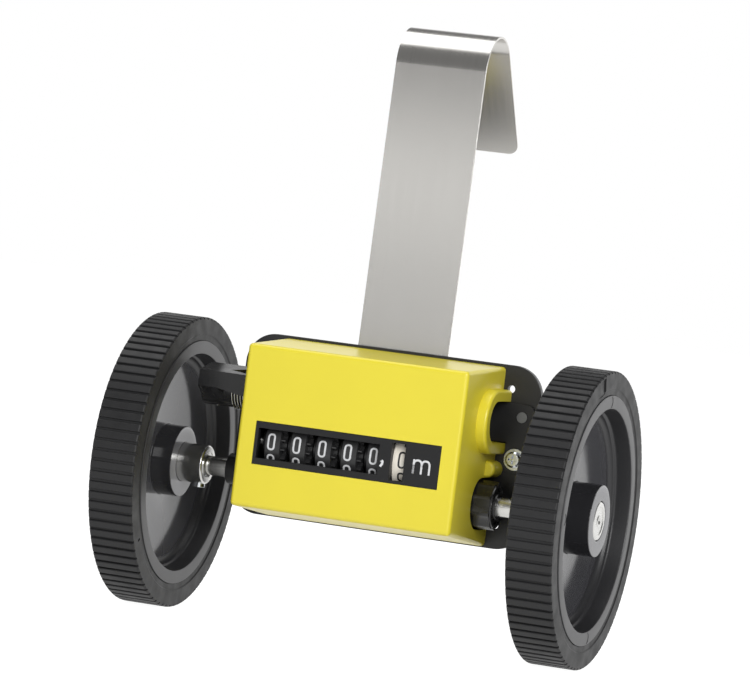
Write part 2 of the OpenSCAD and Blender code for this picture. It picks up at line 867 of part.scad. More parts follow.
module drum_shaft() {
    color(steel) at_drums() difference() {
        rod_x(-shaft_end, shaft_end, drum_shaft_r);
        both_sides() clip_groove(frame_x, drum_shaft_r);
    }
}

module pinion_shaft() {
    color(steel) translate([0, pinion_y, pinion_z]) difference() {
        rod_x(-shaft_end, shaft_end, pinion_shaft_r);
        both_sides() clip_groove(frame_x, pinion_shaft_r);
    }
}

module idler_shaft() {
    color(steel) at_idler() difference() {
        union() {
            rod_x(idler_shaft_left, shaft_end, idler_shaft_r);
            rod_x(axle_gear_x + gear_w + 2 * side_gap, frame_in, idler_shoulder_r);
        }
        mirror([1, 0, 0]) clip_groove(-drive_x + mesh_overlap + clip_gap, idler_shaft_r);
    }
}

module drum_spacer(x0, x1) {
    at_drums() difference() {
        rod_x(x0, x1, drum_hub_r);
        rod_x(x0 - cut, x1 + cut, drum_bore_r);
    }
}

module drum_spacer_left() {
    color(steel) drum_spacer(2 * drum_end_gap - frame_in, drum_x(1) - drum_hub_left - 2 * drum_end_gap);
}

module drum_spacer_right() {
    color(steel) drum_spacer(drive_x + gear_w + side_gap + 2 * drum_end_gap, frame_in - 2 * drum_end_gap);
}

module frame_stays() {
    tenon_end = frame_x + stay_tenon_proud;
    color(steel) stay_places() {
        rod_x(-frame_in, frame_in, stay_r);
        rod_x(-tenon_end, tenon_end, stay_tenon_r);
    }
}

module axle() {
    end = axle_l / 2;
    color(steel) turned_x() polygon([
        [0, -end], [axle_r - axle_chamfer, -end], [axle_r, axle_chamfer - end],
        [axle_r, end - axle_chamfer], [axle_r - axle_chamfer, end], [0, end]
    ]);
}

// Section of a wheel from its -X side, in (radius, X)
function wheel_section(hub_end) = [
    [sleeve_r + fit_gap, 0], [hub_r, 0], [hub_r, web_back], [dish_floor_r - dish_fillet, web_back],
    [dish_floor_r - dish_fillet, 0], [rim_r, 0], [rim_r, wheel_w],
    [dish_mouth_r + rim_chamfer, wheel_w], [dish_mouth_r, wheel_w - rim_chamfer],
    for (step = [0:dish_fillet_steps])
        let (a = 90 * step / dish_fillet_steps)
        [dish_floor_r - dish_fillet + dish_fillet * cos(a),
            web_front + dish_fillet - dish_fillet * sin(a)],
    [hub_r, web_front], [hub_r, hub_end], [sleeve_r + fit_gap, hub_end]
];

module wheel_left() {
    color(grey_plastic) translate([-wheel_out, 0, 0])
        turned_x() polygon(wheel_section(wheel_w - hub_below_left));
}

module wheel_right() {
    color(grey_plastic) translate([wheel_in, 0, 0])
        turned_x() polygon(wheel_section(wheel_w + hub_proud_right));
}

// Ribbed tyre from x = 0, with a groove at the angle
module tyre(angle) {
    intersection() {
        slab_x(0, wheel_w) difference() {
            circle(wheel_r);
            circle(tyre_seat_r);
            for (i = [0:tread_ribs - 1])
                rotate(angle + i * tread_step) translate([wheel_r - groove_depth, -groove_w / 2])
                    square([groove_depth + cut, groove_w]);
        }
        turned_x() polygon([
            [0, 0], [wheel_r - tyre_chamfer, 0], [wheel_r, tyre_chamfer],
            [wheel_r, wheel_w - tyre_chamfer], [wheel_r - tyre_chamfer, wheel_w], [0, wheel_w]
        ]);
    }
}

module tyre_left() {
    color(rubber) translate([-wheel_out, 0, 0]) tyre(tread_angle_left);
}

module tyre_right() {
    color(rubber) translate([wheel_in, 0, 0]) tyre(tread_angle_right);
}

// Steel sleeve on the right: its blind bore takes the axle, its outer end carries the wheel
module wheel_sleeve() {
    bore_r = axle_r + fit_gap;
    bore_end = sleeve_in + sleeve_bore_l;
    difference() {
        turned_x() polygon([
            [bore_r, bore_end], [bore_r, sleeve_in + sleeve_mouth_l],
            [bore_r + sleeve_mouth_w, sleeve_in], [sleeve_r - sleeve_chamfer, sleeve_in],
            [sleeve_r, sleeve_in + sleeve_chamfer], [sleeve_r, sleeve_out - sleeve_chamfer],
            [sleeve_r - sleeve_chamfer, sleeve_out], [centre_mark_r, sleeve_out],
            [0, sleeve_out - centre_mark_depth], [0, bore_end]
        ]);
        spoke(sleeve_in + set_screw_inset, -90, 0, sleeve_r + cut, set_screw_r + fit_gap);
    }
}

module wheel_sleeve_left() {
    color(steel) mirror([1, 0, 0]) wheel_sleeve();
}

module wheel_sleeve_right() {
    color(steel) wheel_sleeve();
}

module wheel_set_screws() {
    color(steel) both_sides() set_screw(sleeve_in + set_screw_inset, -90, axle_r + fit_gap,
        sleeve_r + set_screw_proud, set_screw_r);
}

module hand_knob() {
    bore_r = axle_r + fit_gap;
    color(black_plastic) difference() {
        turned_x() polygon([
            [bore_r, knob_in], [knob_r, knob_in], [knob_r, knob_out - knob_lip_l],
            [knob_lip_r, knob_out - knob_lip_l], [knob_lip_r, knob_out], [knob_dish_r, knob_out],
            [knob_dish_r, knob_out - knob_dish_depth], [knob_hub_r, knob_out - knob_dish_depth],
            [knob_hub_r, knob_out + knob_hub_proud], [bore_r, knob_out + knob_hub_proud]
        ]);
        for (i = [0:knob_flutes - 1])
            rotate([knob_ridge_angle + (i + 1 / 2) * 360 / knob_flutes, 0, 0])
                rod_x(knob_in - cut, knob_out - knob_lip_l, knob_flute_r,
                    knob_r - knob_flute_depth + knob_flute_r);
        spoke((knob_in + knob_out) / 2, knob_screw_angle, 0, knob_r + cut, knob_screw_r + fit_gap);
    }
}

module knob_set_screw() {
    color(steel) set_screw((knob_in + knob_out) / 2, knob_screw_angle, axle_r + fit_gap,
        knob_r - 2 * knob_flute_depth, knob_screw_r);
}

module axle_gear() {
    color(brass) difference() {
        union() {
            gear(axle_gear_x - mesh_overlap, axle_gear_x + gear_w + mesh_overlap,
                axle_teeth, drive_module, drive_thinning, idler_angle);
            rod_x(axle_gear_x, bush_in - 2 * drum_end_gap, gear_hub_r);
        }
        rod_x(drive_x, frame_in, axle_r + fit_gap);
    }
}

module axle_collar() {
    x0 = 2 * drum_end_gap - bush_in;
    color(steel) difference() {
        rod_x(x0, x0 + collar_l, collar_r);
        rod_x(x0 - cut, x0 + collar_l + cut, axle_r + fit_gap);
        spoke(x0 + collar_l / 2, 0, 0, collar_r + cut, collar_screw_r + fit_gap);
    }
}

module collar_set_screw() {
    x0 = 2 * drum_end_gap - bush_in;
    color(steel) set_screw(x0 + collar_l / 2, 0, axle_r + fit_gap, collar_r, collar_screw_r);
}

module idler_large_gear() {
    color(brass) at_idler() difference() {
        gear(axle_gear_x, axle_gear_x + gear_w, idler_teeth, drive_module, drive_thinning,
            idler_angle + 180 + 180 / idler_teeth);
        rod_x(axle_gear_x - cut, axle_gear_x + gear_w + cut, idler_sleeve_r + fit_gap);
    }
}

module idler_small_gear() {
    color(brass) at_idler() difference() {
        union() {
            gear(drive_x - mesh_overlap, drive_x + gear_w + mesh_overlap,
                idler_small_teeth, drive_module, drive_thinning, drive_angle);
            rod_x(drive_x, axle_gear_x + gear_w + side_gap, idler_sleeve_r);
        }
        rod_x(idler_shaft_left, frame_in, idler_shaft_r + run_gap);
    }
}

function drum_x(k) = drum_first_x + (k - 1) * drum_pitch;

function heart_outline() = [for (a = [-180:heart_step:180 - heart_step])
    (heart_low_r + (heart_r - heart_low_r) * abs(a) / 180) * [cos(a), sin(a)]];

// Number drum k, counted from the left. The first has no lugs, because nothing is driven by it,
// and the last has no transfer gear, because the axle drives it
module number_drum(k) {
    lug_x = -drum_rim_hw - lug_disc_w;
    translate([drum_x(k), -drum_y, drum_z]) difference() {
        union() {
            rod_x(-drum_rim_hw, drum_rim_hw, drum_r);
            rod_x(lug_x, drum_rim_hw, lug_disc_r);
            if (k > 1) slab_x(lug_x, -drum_rim_hw) for (side = [-1, 1])
                rotate(side * 360 / transfer_teeth) translate([0, -lug_w / 2]) square([heart_r, lug_w]);
            slab_x(lug_x - heart_w, lug_x) polygon(heart_outline());
            if (k < drum_count) {
                gear(drum_rim_hw, drum_rim_hw + transfer_gear_w, transfer_teeth, transfer_module,
                    transfer_thinning, drum_tooth_angle);
                rod_x(0, drum_hub_right, drum_hub_r);
            }
        }
        rod_x(-drum_pitch, drum_pitch, drum_bore_r);
    }
}

module drum_ten_thousands() {
    color(black_plastic) number_drum(1);
}

module drum_thousands() {
    color(black_plastic) number_drum(2);
}

module drum_hundreds() {
    color(black_plastic) number_drum(3);
}

module drum_tens() {
    color(black_plastic) number_drum(4);
}

module drum_metres() {
    color(black_plastic) number_drum(5);
}

module drum_tenths() {
    color(ivory) number_drum(6);
}

module drum_drive_gear() {
    hub_x = drum_x(drum_count) + drum_rim_hw;
    color(brass) at_drums() difference() {
        union() {
            gear(drive_x, drive_x + gear_w, drive_teeth, drive_module, drive_thinning,
                drive_angle + 180 + 180 / drive_teeth);
            rod_x(hub_x, drive_x + gear_w + side_gap, gear_hub_r);
        }
        rod_x(hub_x - cut, frame_in, drum_bore_r);
    }
}

// Pinion that carries the count from drum k + 1 to drum k
module transfer_pinion(k) {
    x0 = drum_x(k) + drum_rim_hw + pinion_end_gap;
    x1 = drum_x(k + 1) - drum_rim_hw - pinion_end_gap;
    color(ivory) translate([0, pinion_y, pinion_z]) difference() {
        gear(x0, x1, pinion_teeth, transfer_module, transfer_thinning, pinion_tooth_angle);
        rod_x(x0 - cut, x1 + cut, pinion_shaft_r + run_gap);
    }
}

module transfer_pinion_1() {
    transfer_pinion(1);
}

module transfer_pinion_2() {
    transfer_pinion(2);
}

module transfer_pinion_3() {
    transfer_pinion(3);
}

module transfer_pinion_4() {
    transfer_pinion(4);
}

module transfer_pinion_5() {
    transfer_pinion(5);
}

// Outline of a cross wall of the lever, in (Y, Z)
module lever_wall_outline() {
    polygon([
        [lever_front_y, lever_low_z], [lever_front_y, lever_front_top_z],
        [lever_back_y, lever_back_top_z], [lever_boss_r - reset_y, reset_z],
        [-reset_y, reset_z - lever_boss_r]
    ]);
    translate([-reset_y, reset_z]) circle(lever_boss_r);
}

module reset_lever() {
    hub_start = spring_left - spring_wire_d;
    color(black_plastic) difference() {
        union() {
            slab_y(lever_front_y, lever_front_y + lever_wall) polygon([
                [-lever_left, lever_low_z], [-lever_left, lever_front_top_z],
                [-lever_right, lever_front_top_z], [-lever_right, lever_low_right_z],
                [-lever_low_flat_x, lever_low_right_z], [-lever_low_step_x, lever_low_z]
            ]);
            slab_x(-lever_left, -lever_right) polygon([
                [lever_front_y, lever_front_top_z], [lever_back_y, lever_back_top_z],
                [lever_back_y, lever_back_top_z - lever_web_t],
                [lever_front_y, lever_front_top_z - lever_web_t]
            ]);
            slab_x(-lever_left, lever_end_wall - lever_left) lever_wall_outline();
            slab_x(-lever_rib_x, lever_end_wall - lever_rib_x) lever_wall_outline();
            at_reset() rod_x(-lever_left, hub_start, lever_boss_r);
            at_reset() rod_x(hub_start, -lever_hub_end, lever_hub_r);
        }
        at_reset() rod_x(-reset_left_end - fit_gap, cut - lever_hub_end, reset_r + fit_gap);
        at_reset() translate([-lever_pin_x, 0, 0]) cylinder(h = 2 * lever_boss_r + 2 * cut,
            r = lever_pin_r + fit_gap, center = true);
        translate([0, 0, lever_front_top_z - lever_web_t]) linear_extrude(lever_back_top_z) polygon([
            [-lever_notch_left, lever_notch_mid_y], [-lever_notch_right, lever_notch_front_y],
            [-lever_notch_right, lever_notch_back_y]
        ]);
    }
}

module reset_shaft() {
    color(steel) at_reset() difference() {
        rod_x(-reset_left_end, shaft_end, reset_r);
        translate([-lever_pin_x, 0, 0]) cylinder(h = 2 * reset_shaft_d, r = lever_pin_r + fit_gap,
            center = true);
        for (x = comb_screw_xs()) spoke(x, comb_angle + 180, reset_r - comb_screw_r, reset_r + cut,
            comb_screw_r + fit_gap);
    }
}

module lever_pin() {
    color(steel) at_reset() translate([-lever_pin_x, 0, 0])
        cylinder(h = 2 * lever_boss_r, r = lever_pin_r, center = true);
}

function comb_screw_xs() = [for (k = [1, drum_count - 1])
    drum_x(k) - comb_finger_x + comb_screw_from_finger];

module reset_comb() {
    color(steel) at_reset() difference() {
        union() {
            rod_x(-comb_left, comb_right, comb_bar_r);
            for (k = [1:drum_count])
                slab_x(drum_x(k) - comb_finger_x - comb_finger_w / 2,
                    drum_x(k) - comb_finger_x + comb_finger_w / 2)
                    rotate(comb_angle) translate([0, -comb_finger_t / 2])
                        square([comb_reach, comb_finger_t]);
        }
        rod_x(-comb_left - cut, comb_right + cut, reset_r + fit_gap);
        for (x = comb_screw_xs()) spoke(x, comb_angle + 180, 0, comb_bar_r + cut, comb_screw_r + fit_gap);
    }
}

module comb_set_screws() {
    color(steel) at_reset() for (x = comb_screw_xs())
        set_screw(x, comb_angle + 180, reset_r - comb_screw_r + fit_gap, comb_bar_r, comb_screw_r);
}

// Return spring: the wire comes down from under the lever, winds round its hub and
// runs back to the ear of the side frame
spring_steps = spring_turns * spring_rings;
spring_stations = [-1, for (i = [0:spring_steps]) i, spring_steps + 1];

function spring_angle(i) = spring_start_angle + 360 / spring_rings * max(0, min(spring_steps, i));

function spring_radial(i) = [0, cos(spring_angle(i)), sin(spring_angle(i))];

function spring_centre(i) =
    let (at = max(0, min(spring_steps, i)))
    [spring_left + spring_pitch * at / spring_rings, -reset_y, reset_z]
        + spring_mean_r * spring_radial(i)
        + (i < 0 ? [0, 0, spring_up_leg] : i > spring_steps ? [0, spring_back_leg, 0] : [0, 0, 0]);

spring_points = [for (i = spring_stations, side = [0:spring_sides - 1])
    let (a = 360 * side / spring_sides)
    spring_centre(i) + spring_wire_r * (cos(a) * spring_radial(i) + [sin(a), 0, 0])];

function spring_side_faces(rings) = [for (i = [0:rings - 2], side = [0:spring_sides - 1])
    let (
        next = (side + 1) % spring_sides,
        a = i * spring_sides + side,
        b = i * spring_sides + next,
        c = a + spring_sides,
        d = b + spring_sides
    )
    each [[a, b, c], [b, d, c]]];

function spring_end_faces(first, flip) = [for (side = [1:spring_sides - 2])
    flip ? [first, first + side, first + side + 1] : [first, first + side + 1, first + side]];

module reset_spring() {
    rings = len(spring_stations);
    color(steel) polyhedron(spring_points, concat(spring_side_faces(rings),
        spring_end_faces(0, false), spring_end_faces((rings - 1) * spring_sides, true)));
}

// Least distance between points of the wire that are at least half a curl apart
spring_least_gap = min([for (i = [0:spring_steps - spring_rings / 2])
    for (j = [i + spring_rings / 2:spring_steps + 1])
        norm(spring_centre(i) - spring_centre(j)) - spring_wire_d]);
echo(spring_least_gap = spring_least_gap);

case_cover();
number_mask();
back_plate();
strap_hook();
strap_screws();
side_frame_left();
side_frame_right();
ear_screws();
ear_washers();
plate_rivets();
case_screws();
axle_bush_left();
axle_bush_right();
drum_shaft();
drum_spacer_left();
drum_spacer_right();
pinion_shaft();
idler_shaft();
frame_stays();
shaft_clips();
reset_spring();
axle();
wheel_left();
wheel_right();
tyre_left();
tyre_right();
wheel_sleeve_left();
wheel_sleeve_right();
wheel_set_screws();
hand_knob();
knob_set_screw();
axle_gear();
axle_collar();
collar_set_screw();
idler_large_gear();
idler_small_gear();
drum_ten_thousands();
drum_thousands();
drum_hundreds();
drum_tens();
drum_metres();
drum_tenths();
drum_drive_gear();
transfer_pinion_1();
transfer_pinion_2();
transfer_pinion_3();
transfer_pinion_4();
transfer_pinion_5();
reset_lever();
reset_shaft();
reset_comb();
lever_pin();
comb_set_screws();
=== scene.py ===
import json
from math import atan2, ceil, cos, degrees, hypot, pi, radians, sin, tan

import bmesh
import bpy
from bpy.types import Operator, Panel, PropertyGroup
from mathutils import Matrix, Vector

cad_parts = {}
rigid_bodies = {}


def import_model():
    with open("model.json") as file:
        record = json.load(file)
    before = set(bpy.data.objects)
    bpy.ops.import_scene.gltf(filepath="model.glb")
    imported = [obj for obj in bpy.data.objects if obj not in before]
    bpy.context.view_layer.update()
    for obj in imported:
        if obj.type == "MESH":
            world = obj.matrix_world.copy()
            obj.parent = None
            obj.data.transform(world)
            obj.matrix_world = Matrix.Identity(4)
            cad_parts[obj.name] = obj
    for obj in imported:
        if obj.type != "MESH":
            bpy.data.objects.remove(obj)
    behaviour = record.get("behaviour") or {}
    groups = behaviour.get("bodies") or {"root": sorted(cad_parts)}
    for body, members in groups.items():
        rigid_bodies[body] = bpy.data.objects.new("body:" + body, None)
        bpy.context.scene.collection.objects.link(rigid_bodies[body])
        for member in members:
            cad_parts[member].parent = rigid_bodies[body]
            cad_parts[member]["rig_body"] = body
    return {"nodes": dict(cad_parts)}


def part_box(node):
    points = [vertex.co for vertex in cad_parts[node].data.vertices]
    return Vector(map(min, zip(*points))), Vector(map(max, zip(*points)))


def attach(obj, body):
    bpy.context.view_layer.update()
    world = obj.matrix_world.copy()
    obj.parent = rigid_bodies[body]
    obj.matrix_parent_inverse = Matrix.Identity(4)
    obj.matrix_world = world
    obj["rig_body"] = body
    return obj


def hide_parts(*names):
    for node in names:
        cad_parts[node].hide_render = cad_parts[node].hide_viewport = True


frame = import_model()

bl_info = {
    "name": "Cable Length Counter",
    "version": (1, 0, 0),
    "blender": (4, 5, 0),
    "location": "View3D > Sidebar > Counter",
    "description": "Dresses the frame of a two-wheeled cable length counter with its visible pieces",
    "category": "Object",
}

MM = 0.001


def box_mm(node):
    """Lowest and highest corner of a CAD node, in millimetres."""
    low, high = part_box(node)
    return low / MM, high / MM


def linear(tone):
    """Turns an sRGB hex value into the linear colour that a shader takes. A colour stays."""
    if not isinstance(tone, str):
        return tone
    parts = [int(tone[i:i + 2], 16) / 255 for i in (1, 3, 5)]
    return [p / 12.92 if p <= 0.04045 else ((p + 0.055) / 1.055) ** 2.4 for p in parts]


# Places taken from the frame, in millimetres. X runs along the axle, +Y to the back plate.
CASE_LOW, CASE_HIGH = box_mm("case_cover")
MASK_LOW, MASK_HIGH = box_mm("number_mask")
PLATE_LOW, PLATE_HIGH = box_mm("back_plate")
STRAP_LOW, STRAP_HIGH = box_mm("strap_hook")
TYRE_LOW, TYRE_HIGH = box_mm("tyre_right")
WHEEL_HIGH = box_mm("wheel_right")[1]
SLEEVE_LOW, SLEEVE_HIGH = box_mm("wheel_sleeve_right")
AXLE_HIGH = box_mm("axle")[1]
KNOB_LOW = box_mm("hand_knob")[0]
DRUM_LOW, DRUM_HIGH = box_mm("drum_metres")
RESET_LOW, RESET_HIGH = box_mm("reset_shaft")
SPRING_LOW = box_mm("reset_spring")[0]

WHEEL_R = TYRE_HIGH.z
RIM_R = WHEEL_HIGH.z
HUB_PROUD = WHEEL_HIGH.x - TYRE_HIGH.x
DRUM_Y = (DRUM_LOW.y + DRUM_HIGH.y) / 2
DRUM_Z = (DRUM_LOW.z + DRUM_HIGH.z) / 2
DRUM_R = (DRUM_HIGH.z - DRUM_LOW.z) / 2
RESET_Y = (RESET_LOW.y + RESET_HIGH.y) / 2
RESET_Z = (RESET_LOW.z + RESET_HIGH.z) / 2

METRE_DRUMS = ("ten_thousands", "thousands", "hundreds", "tens", "metres")
DRUM_FIRST_X = -29.0
DRUM_PITCH = 9.63

# Play between a bore and what goes through it, reach of a cutting tool past the piece, distance
# under which two vertices are one, and tolerance of a place, in millimetres
FIT = 0.03
OVERRUN = 1
MERGE = 0.001
NEAR = 0.01

# Share that stands for a whole radius or a whole direction, and part of a normal along an axis
# from which a face looks that way
NEARLY_ALL = 0.999
FACING = 0.9

# Corners whose sine is smaller are left alone
SHALLOW_CORNER = 0.3


# Modelling helpers

def only(obj):
    """Makes the object the only selected and the active one."""
    bpy.ops.object.select_all(action="DESELECT")
    obj.select_set(True)
    bpy.context.view_layer.objects.active = obj


def settle(obj):
    """Puts the place, turn and scale of an object into its mesh."""
    only(obj)
    bpy.ops.object.transform_apply(location=True, rotation=True, scale=True)


def named(name):
    """Names the new object and puts its place into its mesh."""
    obj = bpy.context.view_layer.objects.active
    obj.name = obj.data.name = name
    settle(obj)
    return obj


def primitive(add, name, **settings):
    """Adds a primitive with nothing else selected, and names it."""
    bpy.ops.object.select_all(action="DESELECT")
    add(**settings)
    return named(name)


def edit(obj, action="DESELECT"):
    """Goes into edit mode with nothing selected, or with everything selected."""
    only(obj)
    bpy.ops.object.mode_set(mode="EDIT")
    bpy.ops.mesh.select_all(action=action)


def leave():
    """Goes back to object mode."""
    bpy.ops.object.mode_set(mode="OBJECT")


def pick(obj, kind, test):
    """In edit mode, selects the vertices, edges or faces that pass the test."""
    bpy.ops.mesh.select_mode(type=kind)
    bpy.ops.mesh.select_all(action="DESELECT")
    mesh = bmesh.from_edit_mesh(obj.data)
    for item in {"VERT": mesh.verts, "EDGE": mesh.edges, "FACE": mesh.faces}[kind]:
        if test(item):
            item.select_set(True)
    mesh.select_flush_mode()
    bmesh.update_edit_mesh(obj.data)


def extrude(x, y, z):
    """Extrudes what is selected, in millimetres."""
    bpy.ops.mesh.extrude_region_move(TRANSFORM_OT_translate={"value": (x * MM, y * MM, z * MM)})


def bevel_edges(obj, test, size, segments):
    """Bevels the edges that pass the test."""
    edit(obj)
    pick(obj, "EDGE", test)
    bpy.ops.mesh.bevel(offset=size * MM, segments=segments, affect="EDGES")
    leave()


def middle(edge):
    """Middle of an edge, in millimetres."""
    return (edge.verts[0].co + edge.verts[1].co) / 2 / MM


def runs_along(edge, axis):
    """Whether an edge runs along an axis, 0 to 2."""
    way = (edge.verts[1].co - edge.verts[0].co).normalized()
    return abs(way[axis]) > NEARLY_ALL


def outwards(obj):
    """Merges doubled vertices and turns all faces outwards."""
    edit(obj, "SELECT")
    bpy.ops.mesh.remove_doubles(threshold=MERGE * MM)
    bpy.ops.mesh.normals_make_consistent(inside=False)
    leave()
    return obj


def modify(obj, kind, **settings):
    """Adds a modifier and applies it."""
    only(obj)
    modifier = obj.modifiers.new(kind.title(), kind)
    for key, value in settings.items():
        setattr(modifier, key, value)
    bpy.ops.object.modifier_apply(modifier=modifier.name)


def cut(obj, *tools, operation="DIFFERENCE"):
    """Cuts the tools out of the object, or joins them to it, and clears them away."""
    for tool in tools:
        modify(obj, "BOOLEAN", object=tool, operation=operation, solver="EXACT")
        bpy.data.objects.remove(tool)


def rounded(obj, size, segments=2, angle=35):
    """Rounds the edges that are sharper than the angle."""
    modify(obj, "BEVEL", width=size * MM, segments=segments, limit_method="ANGLE",
           angle_limit=radians(angle), miter_outer="MITER_ARC")


def smooth(obj, angle=35):
    """Shades the faces that meet under the angle smooth, and keeps the large faces flat."""
    only(obj)
    bpy.ops.object.shade_smooth_by_angle(angle=radians(angle))
    modify(obj, "WEIGHTED_NORMAL", keep_sharp=True, weight=90)


def block(name, low, high):
    """Box between two corners, in millimetres. Its ends along an axis may be in either order."""
    low, high = Vector(low), Vector(high)
    return primitive(bpy.ops.mesh.primitive_cube_add, name, size=MM,
                     location=(low + high) / 2 * MM, scale=[abs(side) for side in high - low])


def rod(name, start, end, r, segments=48):
    """Round bar between two points, in millimetres."""
    start, end = Vector(start), Vector(end)
    turn = (end - start).to_track_quat("Z", "Y").to_euler()
    return primitive(bpy.ops.mesh.primitive_cylinder_add, name, vertices=segments, radius=r * MM,
                     depth=(end - start).length * MM, location=(start + end) / 2 * MM, rotation=turn)


def eased(outline, size, closed, steps=2, share=0.45):
    """Rounds the corners of an outline by size with arcs of some steps. An arc takes at most a
    share of a side."""
    points = [Vector(p) for p in outline]
    out = []
    for i, here in enumerate(points):
        back, on = points[i - 1] - here, points[(i + 1) % len(points)] - here
        end = not closed and i in (0, len(points) - 1)
        if end or abs(back.normalized().cross(on.normalized())) < SHALLOW_CORNER:
            out.append(here)
            continue
        a = here + back.normalized() * min(size, back.length * share)
        b = here + on.normalized() * min(size, on.length * share)
        for t in (step / steps for step in range(steps + 1)):
            out.append((1 - t) ** 2 * a + 2 * t * (1 - t) * here + t ** 2 * b)
    return out


def turned(name, outline, segments, ring=False, ease=0.0):
    """Turns an outline of (x, radius) points about the X axis. It is a solid whose ends are closed,
    or a ring whose outline runs back to its first point."""
    points = eased(outline, ease, ring) if ease else [Vector(p) for p in outline]
    x, r = points[0]
    obj = primitive(bpy.ops.mesh.primitive_circle_add, name, vertices=segments, radius=r * MM,
                    location=(x * MM, 0, 0), rotation=(0, pi / 2, 0))
    edit(obj, "SELECT")
    for new_x, new_r in points[1:] + (points[:1] if ring else []):
        extrude(new_x - x, 0, 0)
        bpy.ops.transform.resize(value=(1, new_r / r, new_r / r), center_override=(new_x * MM, 0, 0))
        x, r = new_x, new_r
    if not ring:
        bpy.ops.mesh.select_all(action="SELECT")
        bpy.ops.mesh.fill_holes(sides=0)
    leave()
    return outwards(obj)


def d_block(name, x0, x1, y0, y1, z, r):
    """Block along X with a half-round front at y0 and a flat back at y1."""
    obj = block(name, (x0, y0, z - r), (x1, y1, z + r))
    bevel_edges(obj, lambda e: runs_along(e, 0) and abs(middle(e).y - y0) < NEAR,
                r * NEARLY_ALL, segments=18)
    return outwards(obj)


def dress(node, material, slot, edge):
    """Copies a CAD node, welds its triangles into clean faces, rounds its edges and finishes it."""
    obj = bpy.data.objects.new(node + "_piece", frame["nodes"][node].data.copy())
    bpy.context.scene.collection.objects.link(obj)
    edit(obj, "SELECT")
    bpy.ops.mesh.customdata_custom_splitnormals_clear()
    bpy.ops.mesh.remove_doubles(threshold=MERGE * MM)
    bpy.ops.mesh.dissolve_limited(angle_limit=radians(0.5))
    leave()
    if edge:
        rounded(obj, edge)
    finish_piece(obj, material, slot, frame["nodes"][node]["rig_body"], node)


def finish_piece(obj, material, slot, body, *nodes, angle=35):
    """Gives a piece its material, shades it, and lets it ride on a body and stand for its CAD
    nodes. slot, the name of the record's finish, is not used."""
    obj.data.materials.clear()
    obj.data.materials.append(material)
    smooth(obj, angle)
    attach(obj, body)
    if nodes:
        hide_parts(*nodes)


def duplicate(obj, name, shift):
    """Copies a piece with its own mesh, moved along X by shift in millimetres."""
    copy = bpy.data.objects.new(name, obj.data.copy())
    copy.data.transform(Matrix.Translation((shift * MM, 0, 0)))
    bpy.context.scene.collection.objects.link(copy)
    return copy


# Finishes

def add_node(tree, kind, inputs=None, **settings):
    """Adds a shader node with its settings, and gives its inputs a value or a link."""
    new = tree.nodes.new(kind)
    for key, value in settings.items():
        setattr(new, key, value)
    for key, value in (inputs or {}).items():
        if isinstance(value, bpy.types.NodeSocket):
            tree.links.new(value, new.inputs[key])
        elif new.inputs[key].type == "RGBA":
            new.inputs[key].default_value = (*value, 1)
        else:
            new.inputs[key].default_value = value
    return new


def surface(name, build):
    """Returns the material of that name, or makes it from the nodes that build adds."""
    found = bpy.data.materials.get(name)
    if found:
        return found
    material = bpy.data.materials.new(name)
    material.use_nodes = True
    tree = material.node_tree
    tree.nodes.clear()
    place = add_node(tree, "ShaderNodeTexCoord").outputs["Object"]
    shader = build(tree, place)
    add_node(tree, "ShaderNodeOutputMaterial", {"Surface": shader.outputs[0]})
    return material


def noise(tree, place, size, detail=2.0, rough=0.5):
    """Noise whose features are size millimetres wide."""
    return add_node(tree, "ShaderNodeTexNoise", {
        "Vector": place, "Scale": 1 / (size * MM), "Detail": detail, "Roughness": rough,
    }).outputs["Fac"]


def darker(colour, share):
    """A share of a colour."""
    return [c * share for c in colour]


def tones(tone, shade):
    """Linear values of a tone and its shade. Each is a hex value or a linear colour, and the
    shade can also be a share of the tone."""
    tone = linear(tone)
    return tone, darker(tone, shade) if isinstance(shade, float) else linear(shade)


# Where the values of a noise mostly lie, and the detail of the clouds in a moulded skin
NOISE_LOW = 0.3
NOISE_HIGH = 0.7
CLOUD_DETAIL = 3.0


def skin(tree, pattern, height, colours, roughness, spread, relief,
         strength=0.5, specular=0.5, metallic=0.0):
    """Shader whose colour and gloss follow a pattern. Its relief follows a height and is given
    in millimetres."""
    colour = add_node(tree, "ShaderNodeMix", {0: pattern, 6: colours[1], 7: colours[0]}, data_type="RGBA")
    gloss = add_node(tree, "ShaderNodeMapRange", {
        "Value": pattern, "From Min": NOISE_LOW, "From Max": NOISE_HIGH,
        "To Min": roughness - spread, "To Max": roughness + spread,
    })
    bump = add_node(tree, "ShaderNodeBump", {
        "Height": height, "Strength": strength, "Distance": relief * MM})
    return add_node(tree, "ShaderNodeBsdfPrincipled", {
        "Base Color": colour.outputs[2], "Roughness": gloss.outputs[0], "Normal": bump.outputs[0],
        "Specular IOR Level": specular, "Metallic": metallic,
    })


def round_axle(tree, place):
    """Place along the axle and distance from it."""
    parts = add_node(tree, "ShaderNodeSeparateXYZ", {0: place})
    across = add_node(tree, "ShaderNodeCombineXYZ", {1: parts.outputs[1], 2: parts.outputs[2]})
    radius = add_node(tree, "ShaderNodeVectorMath", {0: across.outputs[0]}, operation="LENGTH")
    return parts.outputs[0], radius.outputs["Value"]


def moulded(name, tone, shade, roughness, cloud, grain, relief, spread=0.05, specular=0.5):
    """Moulded plastic or rubber: colour clouds, a fine grain and an uneven gloss. cloud and
    grain are sizes in millimetres, relief is the depth of the grain."""
    def build(tree, place):
        clouds = noise(tree, place, cloud, CLOUD_DETAIL)
        fine = noise(tree, place, grain)
        return skin(tree, clouds, fine, tones(tone, shade), roughness, spread, relief,
                    specular=specular)
    return surface(name, build)


